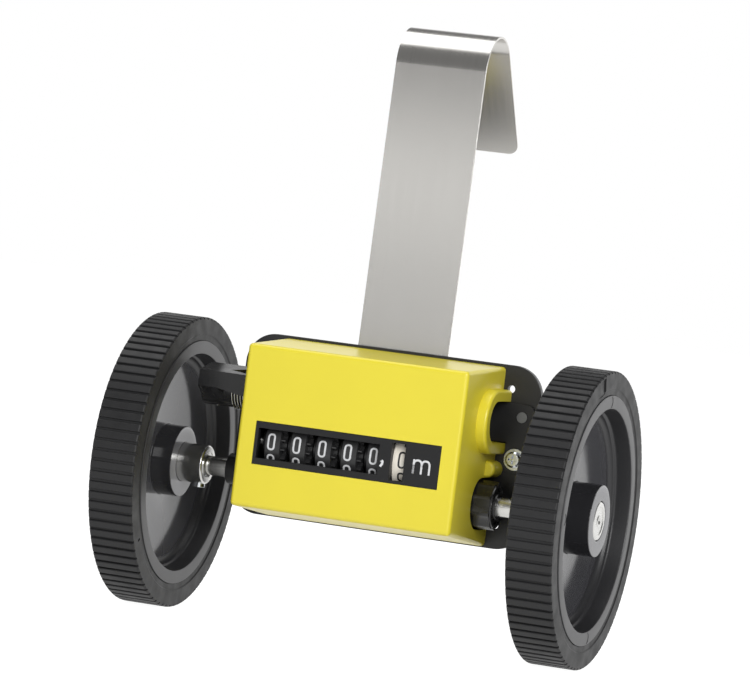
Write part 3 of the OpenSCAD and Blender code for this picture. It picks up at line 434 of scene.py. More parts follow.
def metal(name, tone, shade, roughness, stretch, relief, spread=0.03, ring=False):
    """Metal with tool or brush marks. stretch gives the size of the marks along X, Y and Z in
    millimetres. On a turned piece the marks run round the axle, and Y is the radius."""
    def build(tree, place):
        if ring:
            along, radius = round_axle(tree, place)
            place = add_node(tree, "ShaderNodeCombineXYZ", {0: along, 1: radius}).outputs[0]
        place = add_node(tree, "ShaderNodeMapping", {
            "Vector": place, "Scale": [1 / s for s in stretch]}).outputs[0]
        marks = noise(tree, place, 1, detail=4.0, rough=0.6)
        return skin(tree, marks, marks, tones(tone, shade), roughness, spread, relief,
                    strength=0.4, metallic=1.0)
    return surface(name, build)


def moulded_abs(context):
    """Yellow ABS case: an even, fairly glossy skin with a faint orange peel."""
    return moulded("moulded_yellow_abs", context.scene.counter_case.colour, 0.93, roughness=0.34,
                   cloud=30, grain=1.2, relief=0.004, spread=0.03)


def black_polyamide():
    """Black moulded polyamide of mask and bushes: satin, with a fine eroded grain."""
    return moulded("moulded_black_polyamide", "#1b1b1c", "#151516", roughness=0.36,
                   cloud=6, grain=0.25, relief=0.008, specular=0.3)


def glossy_polyamide():
    """Black moulded knob and lever: glossier than the mask, so that flutes and edges catch the light."""
    return moulded("moulded_gloss_black_polyamide", "#1f1f20", "#171718", roughness=0.25,
                   cloud=8, grain=0.4, relief=0.004)


# Zones of the finish of a wheel: distance from the axle in millimetres and the name of the tone
# The hub and web zones are painted paler than the wall, as painted reflection of the room
WHEEL_ZONES = ((12.4, "hub"), (12.7, "wall"), (13.0, "wall"), (13.4, "web"), (35.6, "web"),
               (37.2, "wall"), (39.6, "wall"), (40.2, "lip"))
ZONES_REACH = 50
LIP_GAIN = 1.25
WEB_ROUGHNESS = 0.07
LIP_ROUGHNESS = 0.36
GLOSS_EDGE = 0.5
WHEEL_CLOUD = 9
CLOUD_SHADE = 0.86
CLOUD_GLOSS = 0.05
WHEEL_GRAIN = 2
WHEEL_RELIEF = 0.0004


def wheel_plastic(context):
    """Dark moulded wheel: its web is smooth and mirrors the room, its wall is dark and its lip satin.
    The web and the hub end are also painted pale by radius, as painted reflection of the room."""
    settings = context.scene.counter_wheels
    # Painted reflection: the hub end and the web take a tone raised by these gains
    gains = {"hub": settings.hub_painted_reflection_gain, "wall": 1.0, "web": settings.web_painted_reflection_gain, "lip": LIP_GAIN}

    def build(tree, place):
        radius = round_axle(tree, place)[1]
        clouds = noise(tree, place, WHEEL_CLOUD, CLOUD_DETAIL)
        share = add_node(tree, "ShaderNodeMapRange", {
            "Value": radius, "From Max": ZONES_REACH * MM, "To Max": 1.0})
        zones = add_node(tree, "ShaderNodeValToRGB", {0: share.outputs[0]})
        ramp = zones.color_ramp
        ramp.interpolation = "EASE"
        ramp.elements.remove(ramp.elements[1])
        for i, (at, zone) in enumerate(WHEEL_ZONES):
            stop = ramp.elements.new(at / ZONES_REACH) if i else ramp.elements[0]
            stop.position = at / ZONES_REACH
            stop.color = (*darker(settings.wheel_colour, gains[zone]), 1)
        colour = add_node(tree, "ShaderNodeMix", {0: clouds, 6: zones.outputs[0], 7: [CLOUD_SHADE] * 3},
                          data_type="RGBA", blend_type="MULTIPLY")
        edge = DISH_FLOOR_R - DISH_FILLET
        gloss = add_node(tree, "ShaderNodeMapRange", {
            "Value": radius, "From Min": (edge - GLOSS_EDGE) * MM, "From Max": (edge + GLOSS_EDGE) * MM,
            "To Min": WEB_ROUGHNESS, "To Max": LIP_ROUGHNESS,
        })
        uneven = add_node(tree, "ShaderNodeMath", {0: clouds, 1: CLOUD_GLOSS, 2: gloss.outputs[0]},
                          operation="MULTIPLY_ADD")
        bump = add_node(tree, "ShaderNodeBump", {
            "Height": noise(tree, place, WHEEL_GRAIN), "Strength": 0.5, "Distance": WHEEL_RELIEF * MM})
        return add_node(tree, "ShaderNodeBsdfPrincipled", {
            "Base Color": colour.outputs[2], "Roughness": uneven.outputs[0], "Normal": bump.outputs[0],
        })
    return surface("moulded_black_wheel_plastic", build)


def tyre_rubber(context):
    """Dark moulded rubber: nearly matt, with a slight bloom in clouds."""
    return moulded("moulded_tyre_rubber", context.scene.counter_wheels.rubber_colour, 0.8, roughness=0.5,
                   cloud=5, grain=0.3, relief=0.02, spread=0.06, specular=0.3)


def drum_plastic(context):
    """Black number drum: satin moulded plastic."""
    return moulded("moulded_drum_plastic", context.scene.counter_dial.drum_colour, 0.85, roughness=0.45,
                   cloud=4, grain=0.3, relief=0.005)


def ivory_plastic(context):
    """Ivory drum and pinions: warm moulded plastic, slightly yellowed in clouds."""
    tone = context.scene.counter_dial.tenths_colour
    yellowed = [c * share for c, share in zip(tone, (0.95, 0.9, 0.8))]
    return moulded("moulded_ivory_plastic", tone, yellowed, roughness=0.4, cloud=5, grain=0.3, relief=0.004)


def printed_white(context):
    """Hot-stamped foil of the numbers: light grey, satin."""
    return moulded("stamped_white_foil", context.scene.counter_dial.digit_colour, 0.88, roughness=0.5,
                   cloud=1.5, grain=0.2, relief=0.004)


def printed_black():
    """Hot-stamped black foil of the tenths."""
    return moulded("stamped_black_foil", "#232324", "#191919", roughness=0.45,
                   cloud=1.5, grain=0.2, relief=0.004)


def powder_coat():
    """Black powder coat on the plate and the side frames: satin with a small orange peel."""
    return moulded("powder_coated_black_steel", "#1d1d1e", "#161617", roughness=0.38,
                   cloud=12, grain=0.7, relief=0.01)


def brushed_stainless(context):
    """Stainless strip brushed along its length: fine lines that run up the strap. The real
    lines stand 0.1 mm apart and are drawn at 0.25 mm so that they show."""
    return metal("brushed_stainless_strip", context.scene.counter_strap.colour, 0.91, roughness=0.21,
                 stretch=(0.25, 60, 60), relief=0.0003)


def turned_steel():
    """Turned and nickel-plated steel: fine tool rings round the axle, 0.15 mm apart."""
    return metal("turned_nickel_plated_steel", "#cfcfcc", "#bdbcb9", roughness=0.24,
                 stretch=(0.15, 0.15, 1), relief=0.0004, ring=True)


def zinc_plate():
    """Blue zinc plate on screws, washers and stays: bright with soft blotches."""
    return metal("bright_zinc_plate", "#d6d9db", "#c3c7ca", roughness=0.2,
                 stretch=(2.5, 2.5, 2.5), relief=0.0003, spread=0.04)


def dull_zinc():
    """Rivet heads: zinc dulled by the riveting tool."""
    return metal("dulled_zinc_plate", "#8b8c8c", "#727373", roughness=0.5,
                 stretch=(1.5, 1.5, 1.5), relief=0.001, spread=0.06)


def spring_wire():
    """Drawn and plated spring wire: smooth, with fine draw marks."""
    return metal("drawn_spring_wire", "#cfcfcc", "#9b9a97", roughness=0.22,
                 stretch=(0.3, 0.3, 0.3), relief=0.002, spread=0.06)


def hobbed_brass():
    """Hobbed brass gears: warm metal with fine cutter marks along the teeth."""
    return metal("hobbed_brass", "#c9a765", "#a5854a", roughness=0.3,
                 stretch=(3, 0.15, 0.15), relief=0.003, spread=0.06)


# Settings that a user would change

def length(name, description, value):
    """Setting whose value is given in millimetres."""
    return bpy.props.FloatProperty(name=name, description=description, default=value * MM,
                                   unit="LENGTH", precision=5, min=0.0)


def colour(name, description, value):
    """Setting whose value is given as an sRGB hex value."""
    return bpy.props.FloatVectorProperty(name=name, description=description, default=linear(value),
                                         subtype="COLOR", min=0.0, max=1.0)


class CounterWheelSettings(PropertyGroup):
    ribs: bpy.props.IntProperty(name="Tread ribs", description="Ribs round a tyre", default=90, min=12)
    groove_width: length("Groove width", "Width of a tread groove at its floor", 0.9)
    groove_depth: length("Groove depth", "Depth of a tread groove", 0.8)
    rubber_colour: colour("Rubber", "Colour of the tyres", "#222223")
    wheel_colour: colour("Wheel", "Colour of the wheels", "#252527")
    # Painted reflection: raises the tone of the web to stand in for the room that it mirrors
    web_painted_reflection_gain: bpy.props.FloatProperty(name="Web brightness", default=3.2, min=1.0,
                                      description="Times that the web is brighter than the wall")
    # Painted reflection: raises the tone of the hub end to stand in for the room that it mirrors
    hub_painted_reflection_gain: bpy.props.FloatProperty(name="Hub brightness", default=5.8, min=1.0,
                                      description="Times that the end of the hub is brighter than the wall")


class CounterCaseSettings(PropertyGroup):
    edge: length("Edge radius", "Rounding of the outer edges of the case", 1.5)
    wall: length("Wall", "Thickness of the case wall", 1.8)
    colour: colour("Case", "Colour of the case", "#dccd35")


class CounterStrapSettings(PropertyGroup):
    thickness: length("Thickness", "Thickness of the strap", 0.8)
    corner: length("Corner radius", "Rounding of the lower corners of the back leg", 4.0)
    colour: colour("Strap", "Colour of the brushed strap", "#c9c7c3")


class CounterDialSettings(PropertyGroup):
    digit_width: length("Digit width", "Width of a number over its strokes", 2.95)
    digit_height: length("Digit height", "Height of a number over its strokes", 6.1)
    stroke: length("Stroke", "Width of the strokes of a number", 0.7)
    digit_colour: colour("Numbers", "Colour of the numbers on the black drums", "#d0d1d3")
    drum_colour: colour("Drums", "Colour of the black drums", "#262627")
    tenths_colour: colour("Tenths drum", "Colour of the drum of the tenths", "#f3efe8")


class CounterStageSettings(PropertyGroup):
    level: bpy.props.FloatProperty(name="Lamp level", description="Level of all lamps together",
                                   default=1.0, min=0.0, subtype="FACTOR", soft_max=2.0)
    floor_colour: colour("Floor", "Colour of the floor", "#f4f4f4")


SETTINGS = {
    "counter_wheels": CounterWheelSettings,
    "counter_case": CounterCaseSettings,
    "counter_strap": CounterStrapSettings,
    "counter_dial": CounterDialSettings,
    "counter_stage": CounterStageSettings,
}


# Wheels and axle

# Bore, chamfers and edges of a tyre, and the place and depth of the step in its outer side
SEAT_R = RIM_R + FIT
TYRE_CHAMFER = 0.5
TYRE_EASE = 0.2
STEP_R = 46.6
STEP_DEPTH = 0.35

# Angle of the first groove of a tyre, in degrees from +Y, and points of the outline in each rib
TREAD_ANGLES = {"left": 180 - 3.77, "right": 180 - 0.7}
RIB_COLUMNS = 8

# Edge of a rib: turn in degrees from the floor of the groove to the side of the rib and to its
# top, drop of the eased edge, and shares of the pitch at which the top has its inner columns
RIB_DRAFT = 0.09
RIB_EASE = 0.32
RIB_DROP = 0.2
RIB_SHARES = (0.35, 0.65)

# Dish, web and hub of a wheel. The hub of the left wheel ends below the lip.
WHEEL_EASE = 0.45
DISH_MOUTH_R = 39.7
DISH_FLOOR_R = 38.3
DISH_FILLET = 2.2
WEB_FRONT = 6.9
WEB_RISE = 1.5
WEB_BACK = 4.3
HUB_R = 12.85
HUB_BELOW_LEFT = 2.2

# Parting line in the wall of the dish: its place, its width and how far it is above the floor radius
PARTING_X = 11.0
PARTING_W = 0.4
PARTING_LOW = 0.75
PARTING_HIGH = 0.95

# Marks of the moulds: a pocket or a nick in the side of a tyre (inner and outer radius, half width,
# turn from straight up to the front) and the ejector spots on the lip of a wheel (degrees from +Y)
SIDE_MARKS = {"left": (47.5, 49.0, 0.5, 124.5), "right": (45.9, 51.9, 3.2, 16.5)}
SIDE_MARK_DEPTH = 0.5
EJECTOR_MARKS = {"left": (), "right": (92, -84, 178)}
EJECTOR_R = 2.0
EJECTOR_DEPTH = 0.12
LIP_MIDDLE_R = 42.1


def tread(obj, ribs, groove_angle, groove_w, depth):
    """Shapes the eight columns of each rib: a groove with a little draft and eased rib edges."""
    floor_r, edge_r = WHEEL_R - depth, WHEEL_R - RIB_DROP
    pitch = 360 / ribs
    half = degrees(groove_w / 2 / floor_r)
    side, edge = half + RIB_DRAFT, half + RIB_EASE
    inner = [pitch * share for share in RIB_SHARES]
    offsets = (-half, half, side, edge, *inner, pitch - edge, pitch - side)
    tops = (floor_r, floor_r, edge_r, WHEEL_R, WHEEL_R, WHEEL_R, WHEEL_R, edge_r)
    for vert in obj.data.vertices:
        _, y, z = vert.co / MM
        column = round(degrees(atan2(z, y)) / (pitch / RIB_COLUMNS))
        rib, column = divmod(column, RIB_COLUMNS)
        angle = radians(groove_angle + pitch * rib + offsets[column])
        r = min(hypot(y, z), tops[column])
        vert.co.y, vert.co.z = r * cos(angle) * MM, r * sin(angle) * MM


class COUNTER_OT_tyres(Operator):
    """Turns the two rubber tyres and cuts their tread"""
    bl_idname = "counter.tyres"
    bl_label = "Tyres"

    def execute(self, context):
        settings = context.scene.counter_wheels
        groove_w, groove_depth = settings.groove_width / MM, settings.groove_depth / MM
        for side, low in (("left", -TYRE_HIGH.x), ("right", TYRE_LOW.x)):
            high = low + TYRE_HIGH.x - TYRE_LOW.x
            section = [
                (low, SEAT_R), (low, WHEEL_R - TYRE_CHAMFER), (low + TYRE_CHAMFER, WHEEL_R),
                (high - TYRE_CHAMFER, WHEEL_R), (high, WHEEL_R - TYRE_CHAMFER),
                (high, STEP_R + STEP_DEPTH), (high - STEP_DEPTH, STEP_R), (high - STEP_DEPTH, SEAT_R),
            ]
            tyre = turned("tyre_" + side + "_piece", section, settings.ribs * RIB_COLUMNS,
                          ring=True, ease=TYRE_EASE)
            tread(tyre, settings.ribs, TREAD_ANGLES[side], groove_w, groove_depth)
            r0, r1, half_w, turn = SIDE_MARKS[side]
            mark = block("mark", (high - SIDE_MARK_DEPTH, -half_w, r0), (high + OVERRUN, half_w, r1))
            mark.rotation_euler.x = radians(turn)
            settle(mark)
            cut(outwards(tyre), mark)
            finish_piece(outwards(tyre), tyre_rubber(context), "tyre_rubber", "wheelset",
                         "tyre_" + side, angle=28)
        return {"FINISHED"}


class COUNTER_OT_wheels(Operator):
    """Turns the two dished wheels with their hubs"""
    bl_idname = "counter.wheels"
    bl_label = "Wheels"

    def execute(self, context):
        width = TYRE_HIGH.x - TYRE_LOW.x
        bore_r = SLEEVE_HIGH.z + FIT
        web_x, web_r = WEB_FRONT + WEB_RISE + DISH_FILLET, DISH_FLOOR_R - DISH_FILLET
        arc = [(web_x - DISH_FILLET * sin(a), web_r + DISH_FILLET * cos(a))
               for a in map(radians, range(0, 91, 15))]
        for side, low, hub_end in (("left", -TYRE_HIGH.x, width - HUB_BELOW_LEFT),
                                   ("right", TYRE_LOW.x, width + HUB_PROUD)):
            section = [
                (0, bore_r), (0, HUB_R), (WEB_BACK, HUB_R), (WEB_BACK, web_r), (0, web_r), (0, RIM_R),
                (width, RIM_R), (width, DISH_MOUTH_R), (PARTING_X + PARTING_W, DISH_FLOOR_R + PARTING_HIGH),
                (PARTING_X, DISH_FLOOR_R + PARTING_LOW), *arc, (WEB_FRONT, HUB_R), (hub_end, HUB_R),
                (hub_end, bore_r),
            ]
            wheel = turned("wheel_" + side + "_piece", [(low + x, r) for x, r in section],
                           segments=192, ring=True, ease=WHEEL_EASE)
            floor, top = low + width - EJECTOR_DEPTH, low + width + OVERRUN
            for at in EJECTOR_MARKS[side]:
                y, z = LIP_MIDDLE_R * cos(radians(at)), LIP_MIDDLE_R * sin(radians(at))
                cut(wheel, rod("ejector", (floor, y, z), (top, y, z), EJECTOR_R, segments=32))
            finish_piece(outwards(wheel), wheel_plastic(context), "wheel_plastic", "wheelset",
                         "wheel_" + side, angle=30)
        return {"FINISHED"}


TURNED_EASE = 0.15
TURNED_CHAMFER = 0.5

# Bore of a sleeve, the cone at its mouth (length and width), the radius in which a hole ends, and
# the recess and the centre hole in its closed end (depth and radius of each point)
SLEEVE_BORE_L = 18
SLEEVE_MOUTH_L = 1.4
SLEEVE_MOUTH_W = 1.1
TIP_R = 0.2
SLEEVE_FACE = ((0, 5.2), (0.25, 5.0), (0.25, 2.2), (0, 2.0), (0, 1.3), (1.5, TIP_R))


class COUNTER_OT_axle(Operator):
    """Turns the axle and the two steel sleeves that carry the wheels"""
    bl_idname = "counter.axle"
    bl_label = "Axle and sleeves"

    def execute(self, context):
        end, r, ease = AXLE_HIGH.x, AXLE_HIGH.z, TURNED_CHAMFER
        section = [(-end, r - ease), (ease - end, r), (end - ease, r), (end, r - ease)]
        axle = turned("axle_piece", section, segments=64, ease=TURNED_EASE)
        finish_piece(axle, turned_steel(), "turned_steel", "wheelset", "axle")
        low, high, r = SLEEVE_LOW.x, SLEEVE_HIGH.x, SLEEVE_HIGH.z
        bore_r, bore_end = AXLE_HIGH.z + FIT, low + SLEEVE_BORE_L
        section = [
            (bore_end, TIP_R), (bore_end, bore_r), (low + SLEEVE_MOUTH_L, bore_r),
            (low, bore_r + SLEEVE_MOUTH_W), (low, r - ease), (low + ease, r), (high - ease, r),
            (high, r - ease), *((high - depth, radius) for depth, radius in SLEEVE_FACE),
        ]
        for node, sign in (("wheel_sleeve_left", -1), ("wheel_sleeve_right", 1)):
            sleeve = turned(node + "_piece", [(sign * x, radius) for x, radius in section],
                            segments=72, ease=TURNED_EASE)
            finish_piece(sleeve, turned_steel(), "turned_steel", "wheelset", node)
        dress("wheel_set_screws", zinc_plate(), "turned_steel", edge=0.15)
        return {"FINISHED"}


# Hand knob. Its step is that of the face over the flutes and of the hub over the face, and its
# inset that of the face from the flutes and the depth of its recess. Angle in degrees from +Y.
KNOB_L = 8.1
KNOB_R = 8.75
KNOB_STEP = 0.5
KNOB_INSET = 0.9
KNOB_RIM = 2
KNOB_HUB_WALL = 1.3
KNOB_EASE = 0.2
FLUTES = 9
FLUTE_R = 7.5
FLUTE_DEPTH = 0.75
FLUTE_START = 160


class COUNTER_OT_knob(Operator):
    """Turns the hand knob, mills its flutes and eases its edges"""
    bl_idname = "counter.knob"
    bl_label = "Hand knob"

    def execute(self, context):
        low, high = KNOB_LOW.x, KNOB_LOW.x + KNOB_L
        bore_r = AXLE_HIGH.z + FIT
        hub_r, rim_r, face = bore_r + KNOB_HUB_WALL, KNOB_R - KNOB_RIM, high - KNOB_STEP
        knob = turned("hand_knob_piece", [
            (low, bore_r), (low, KNOB_R), (face, KNOB_R), (face, KNOB_R - KNOB_INSET),
            (high, KNOB_R - KNOB_INSET), (high, rim_r), (high - KNOB_INSET, rim_r),
            (high - KNOB_INSET, hub_r), (high + KNOB_STEP, hub_r), (high + KNOB_STEP, bore_r),
        ], segments=144, ring=True)
        reach = KNOB_R - FLUTE_DEPTH + FLUTE_R
        for i in range(FLUTES):
            angle = radians(FLUTE_START + (i + 0.5) * 360 / FLUTES)
            y, z = reach * cos(angle), reach * sin(angle)
            cut(knob, rod("flute", (low - OVERRUN, y, z), (face, y, z), FLUTE_R, segments=96))
        rounded(outwards(knob), KNOB_EASE, angle=40)
        finish_piece(knob, glossy_polyamide(), "black_plastic", "wheelset", "hand_knob")
        dress("knob_set_screw", zinc_plate(), "turned_steel", edge=0)
        return {"FINISHED"}


# Case and mask

CASE_HALF_FRONT = 41.35
CASE_HALF_BACK = 42.25
CASE_FRONT_H = 57.9
CASE_FRONT_Z = 17.95
SLOT_Z = 29.6
SLOT_R = 7.5
SLOT_RIM = 4.0
KNOB_CUT_R = 9.4
POST_X = 42.5
POST_Z = 12.5
POST_R = 3.0
POST_L = 9.7
BOSS_EASE = 1.1
HOLLOW_CORNER = 0.6
CASE_EASE = 0.22
WINDOW_Z = 12.2

# Openings of the mask: left edge, right edge and height
DIGITS_SLOT = (-33.6, 12.0, 10.7)
TENTHS_SLOT = (16.6, 21.7, 13.2)

# Flange of the mask behind the edge of the window: its width, its thickness and its play, which
# is also how far the front of the mask reaches into it
FLANGE_W = 1.55
FLANGE_T = 0.8
FLANGE_PLAY = 0.1
MASK_EASE = 0.12


def case_body(name, inset, radius):
    """Tapered box of the case, smaller by inset on all sides but the back."""
    back_z, back_h = (CASE_LOW.z + CASE_HIGH.z) / 2, CASE_HIGH.z - CASE_LOW.z
    front, back = CASE_LOW.y + inset, CASE_HIGH.y + (OVERRUN if inset else 0)
    half_back, half_front, half_h = CASE_HALF_BACK - inset, CASE_HALF_FRONT - inset, back_h / 2 - inset
    obj = block(name, (-half_back, front, back_z - half_h), (half_back, back, back_z + half_h))
    edit(obj)
    pick(obj, "FACE", lambda f: f.normal.y < -FACING)
    bpy.ops.transform.resize(
        value=(half_front / half_back, 1, (CASE_FRONT_H - 2 * inset) / (back_h - 2 * inset)),
        center_override=(0, front * MM, back_z * MM))
    bpy.ops.transform.translate(value=(0, 0, (CASE_FRONT_Z - back_z) * MM))
    leave()
    bevel_edges(obj, lambda e: middle(e).y < back - NEAR, radius, segments=6)
    return outwards(obj)


class COUNTER_OT_case(Operator):
    """Models the yellow case with its window, side openings, rims and screw posts"""
    bl_idname = "counter.case"
    bl_label = "Case"

    def execute(self, context):
        settings = context.scene.counter_case
        wall, back = settings.wall / MM, CASE_HIGH.y
        case = case_body("case_cover_piece", 0, settings.edge / MM)
        cut(case, case_body("hollow", wall, HOLLOW_CORNER))
        for side in (-1, 1):
            face = side * CASE_HIGH.x
            inner, rim_r = side * (CASE_HALF_FRONT - wall), SLOT_R + SLOT_RIM
            rim = d_block("slot_rim", inner, face, RESET_Y - rim_r, back, SLOT_Z, rim_r)
            bevel_edges(rim, lambda e: abs(middle(e).x - face) < NEAR and not runs_along(e, 0)
                        and middle(e).y < back - NEAR, BOSS_EASE, segments=4)
            x = side * POST_X
            post = rod("post", (x, back - POST_L, POST_Z), (x, back, POST_Z), POST_R)
            bevel_edges(post, lambda e: abs(middle(e).y - back + POST_L) < NEAR, BOSS_EASE, segments=3)
            cut(case, rim, post, operation="UNION")
            inner, outer = inner - side * OVERRUN, face + side * OVERRUN
            cut(case, d_block("slot", inner, outer, RESET_Y - SLOT_R, back + OVERRUN, SLOT_Z, SLOT_R),
                d_block("knob_cut", inner, outer, -KNOB_CUT_R, back + OVERRUN, 0, KNOB_CUT_R))
        lap = FLANGE_W - FLANGE_PLAY
        half, half_h = MASK_HIGH.x - lap, (MASK_HIGH.z - MASK_LOW.z) / 2 - lap
        cut(case, block("window", (-half, CASE_LOW.y - OVERRUN, WINDOW_Z - half_h),
                        (half, CASE_LOW.y + wall + OVERRUN, WINDOW_Z + half_h)))
        rounded(outwards(case), CASE_EASE, angle=42)
        finish_piece(case, moulded_abs(context), "yellow_plastic", "root", "case_cover", angle=40)
        return {"FINISHED"}


def strokes(name, lines, width, place):
    """Draws lines as flat rounded strokes. A line is a closed flag and its points, in
    millimetres, and place turns a point and its height above the sheet into a place in space."""
    sheet = bpy.data.curves.new(name, "CURVE")
    sheet.dimensions = "3D"
    sheet.bevel_depth = width / 2 * MM
    sheet.bevel_resolution = 2
    sheet.use_fill_caps = True
    for closed, points in lines:
        spline = sheet.splines.new("POLY")
        spline.points.add(len(points) - 1)
        for point, (u, v) in zip(spline.points, points):
            point.co = (u * MM, v * MM, 0, 1)
        spline.use_cyclic_u = closed
    obj = bpy.data.objects.new(name, sheet)
    bpy.context.scene.collection.objects.link(obj)
    only(obj)
    bpy.ops.object.convert(target="MESH")
    obj = bpy.context.view_layer.objects.active
    for vert in obj.data.vertices:
        u, v, h = vert.co / MM
        vert.co = Vector(place(u, v, h)) * MM
    return outwards(obj)


# Distance of the points of a stroke, in millimetres
LINE_STEP = 0.4


def round_line(points, size, closed=False):
    """Rounds the corners of a line and sets its points close together."""
    out = eased(points, size, closed, steps=5, share=0.5)
    dense = []
    for here, on in zip(out, out[1:] + (out[:1] if closed else [])):
        parts = max(1, ceil((on - here).length / LINE_STEP))
        dense += [here.lerp(on, k / parts) for k in range(parts)]
    return dense if closed else dense + out[-1:]


# Unit mark: place of its foot, height of its stem and its arches, width and corner of an arch
UNIT_X = 25.3
UNIT_Z = 9.1
UNIT_H = 5.0
UNIT_STROKE = 0.72
ARCH_W = 2.95
ARCH_H = 4.75
ARCH_CORNER = 1.7
COMMA_TAIL = ((13.4, 12.0), (13.75, 11.9), (13.7, 10.9), (13.0, 9.9))
COMMA_DOT = ((13.35, 11.95), (13.35, 11.6))
COMMA_CORNER = 0.4
COMMA_STROKE = 0.85
MARK_RELIEF_SHARE = 0.08


class COUNTER_OT_mask(Operator):
    """Models the black number mask with its two openings, the comma and the unit mark"""
    bl_idname = "counter.mask"
    bl_label = "Number mask"

    def execute(self, context):
        front, back = MASK_LOW.y, MASK_HIGH.y
        step = back - FLANGE_T
        mask = block("number_mask_piece", (MASK_LOW.x + FLANGE_W, front, MASK_LOW.z + FLANGE_W),
                     (MASK_HIGH.x - FLANGE_W, step + FLANGE_PLAY, MASK_HIGH.z - FLANGE_W))
        cut(mask, block("flange", (MASK_LOW.x, step, MASK_LOW.z), (MASK_HIGH.x, back, MASK_HIGH.z)),
            operation="UNION")
        for left, right, height in (DIGITS_SLOT, TENTHS_SLOT):
            cut(mask, block("slot", (left, front - OVERRUN, WINDOW_Z - height / 2),
                            (right, back + OVERRUN, WINDOW_Z + height / 2)))
        rounded(outwards(mask), MASK_EASE, angle=40)
        finish_piece(mask, black_polyamide(), "black_plastic", "root", "number_mask")

        def on_mask(u, v, h):
            return u, front - h * MARK_RELIEF_SHARE, v
        foot, top = UNIT_Z, UNIT_Z + ARCH_H
        unit = [(False, [(UNIT_X, foot), (UNIT_X, foot + UNIT_H)])]
        for x in (UNIT_X, UNIT_X + ARCH_W):
            arch = [(x, foot), (x, top), (x + ARCH_W, top), (x + ARCH_W, foot)]
            unit.append((False, round_line(arch, ARCH_CORNER)))
        comma = [(False, round_line(COMMA_TAIL, COMMA_CORNER)), (False, COMMA_DOT)]
        for name, lines, width in (("unit_mark", unit, UNIT_STROKE), ("comma_mark", comma, COMMA_STROKE)):
            mark = strokes(name, lines, width, on_mask)
            finish_piece(mark, printed_white(context), "ivory_plastic", "root")
        return {"FINISHED"}


# Number drums

# Turn of the numbers on the drums in degrees, and how far they stand off the middle along X
DIGIT_TILT = 3.6
NUMBER_SHIFT = 0.5
TENTHS_SHIFT = 0.6
NUMBER_CORNER = 1.15
NUMBER_RELIEF_SHARE = 0.12

# Strokes of the digits 0 to 9, as shares of the width and the height. True closes a stroke.
DIGITS = (
    [(True, [(0, 0), (1, 0), (1, 1), (0, 1)])],
    [(False, [(0.15, 0.78), (0.6, 1), (0.6, 0)])],
    [(False, [(0, 0.76), (0, 1), (1, 1), (1, 0.55), (0, 0.2), (0, 0), (1, 0)])],
    [(False, [(0, 0.8), (0, 1), (1, 1), (1, 0.53), (0.4, 0.53)]),
     (False, [(0.4, 0.53), (1, 0.53), (1, 0), (0, 0), (0, 0.2)])],
    [(False, [(0.75, 0), (0.75, 1), (0, 0.28), (1, 0.28)])],
    [(False, [(0.95, 1), (0.05, 1), (0.02, 0.56), (1, 0.6), (1, 0), (0, 0), (0, 0.18)])],
    [(False, [(1, 0.82), (1, 1), (0, 1), (0, 0), (1, 0), (1, 0.56), (0, 0.56)])],
    [(False, [(0, 1), (1, 1), (0.35, 0)])],
    [(True, [(0, 0), (1, 0), (1, 0.52), (0, 0.52)]),
     (True, [(0.06, 0.52), (0.94, 0.52), (0.94, 1), (0.06, 1)])],
    [(False, [(1, 0.44), (0, 0.44), (0, 1), (1, 1), (1, 0), (0, 0), (0, 0.18)])],
)


def number_ring(name, settings, x):
    """The ten numbers round a drum, counting up towards the top, wrapped on the drum at x."""
    stroke = settings.stroke / MM
    width, height = settings.digit_width / MM - stroke, settings.digit_height / MM - stroke
    pitch = radians(360 / len(DIGITS)) * DRUM_R
    lines = []
    for digit, parts in enumerate(DIGITS):
        for closed, points in parts:
            spots = [((u - 0.5) * width, (v - 0.5) * height + digit * pitch) for u, v in points]
            lines.append((closed, round_line(spots, NUMBER_CORNER, closed)))

    def on_drum(u, v, h):
        angle = v / DRUM_R + radians(DIGIT_TILT)
        r = DRUM_R + h * NUMBER_RELIEF_SHARE
        return x + u, DRUM_Y - r * cos(angle), DRUM_Z + r * sin(angle)
    return strokes(name, lines, stroke, on_drum)


class COUNTER_OT_drums(Operator):
    """Dresses the six number drums and stamps their numbers"""
    bl_idname = "counter.drums"
    bl_label = "Number drums"

    def execute(self, context):
        settings = context.scene.counter_dial
        first = number_ring("numbers_ten_thousands", settings, DRUM_FIRST_X - NUMBER_SHIFT)
        for i, name in enumerate(METRE_DRUMS):
            dress("drum_" + name, drum_plastic(context), "drum_plastic", edge=0.15)
            numbers = duplicate(first, "numbers_" + name, i * DRUM_PITCH) if i else first
            finish_piece(numbers, printed_white(context), "ivory_plastic", name + "_drum")
        dress("drum_tenths", ivory_plastic(context), "ivory_plastic", edge=0.15)
        tenths_x = DRUM_FIRST_X + len(METRE_DRUMS) * DRUM_PITCH + TENTHS_SHIFT
        tenths = number_ring("numbers_tenths", settings, tenths_x)
        finish_piece(tenths, printed_black(), "black_plastic", "tenths_drum")
        return {"FINISHED"}


# Plate, strap and small parts

# Corners and edges of the plate, and its four holes: distance from its middle along X and Z, and
# radius
PLATE_CORNER = 11
PLATE_EASE = 0.3
FIXING_X = 45.1
FIXING_Z = 24.5
FIXING_R = 1.35


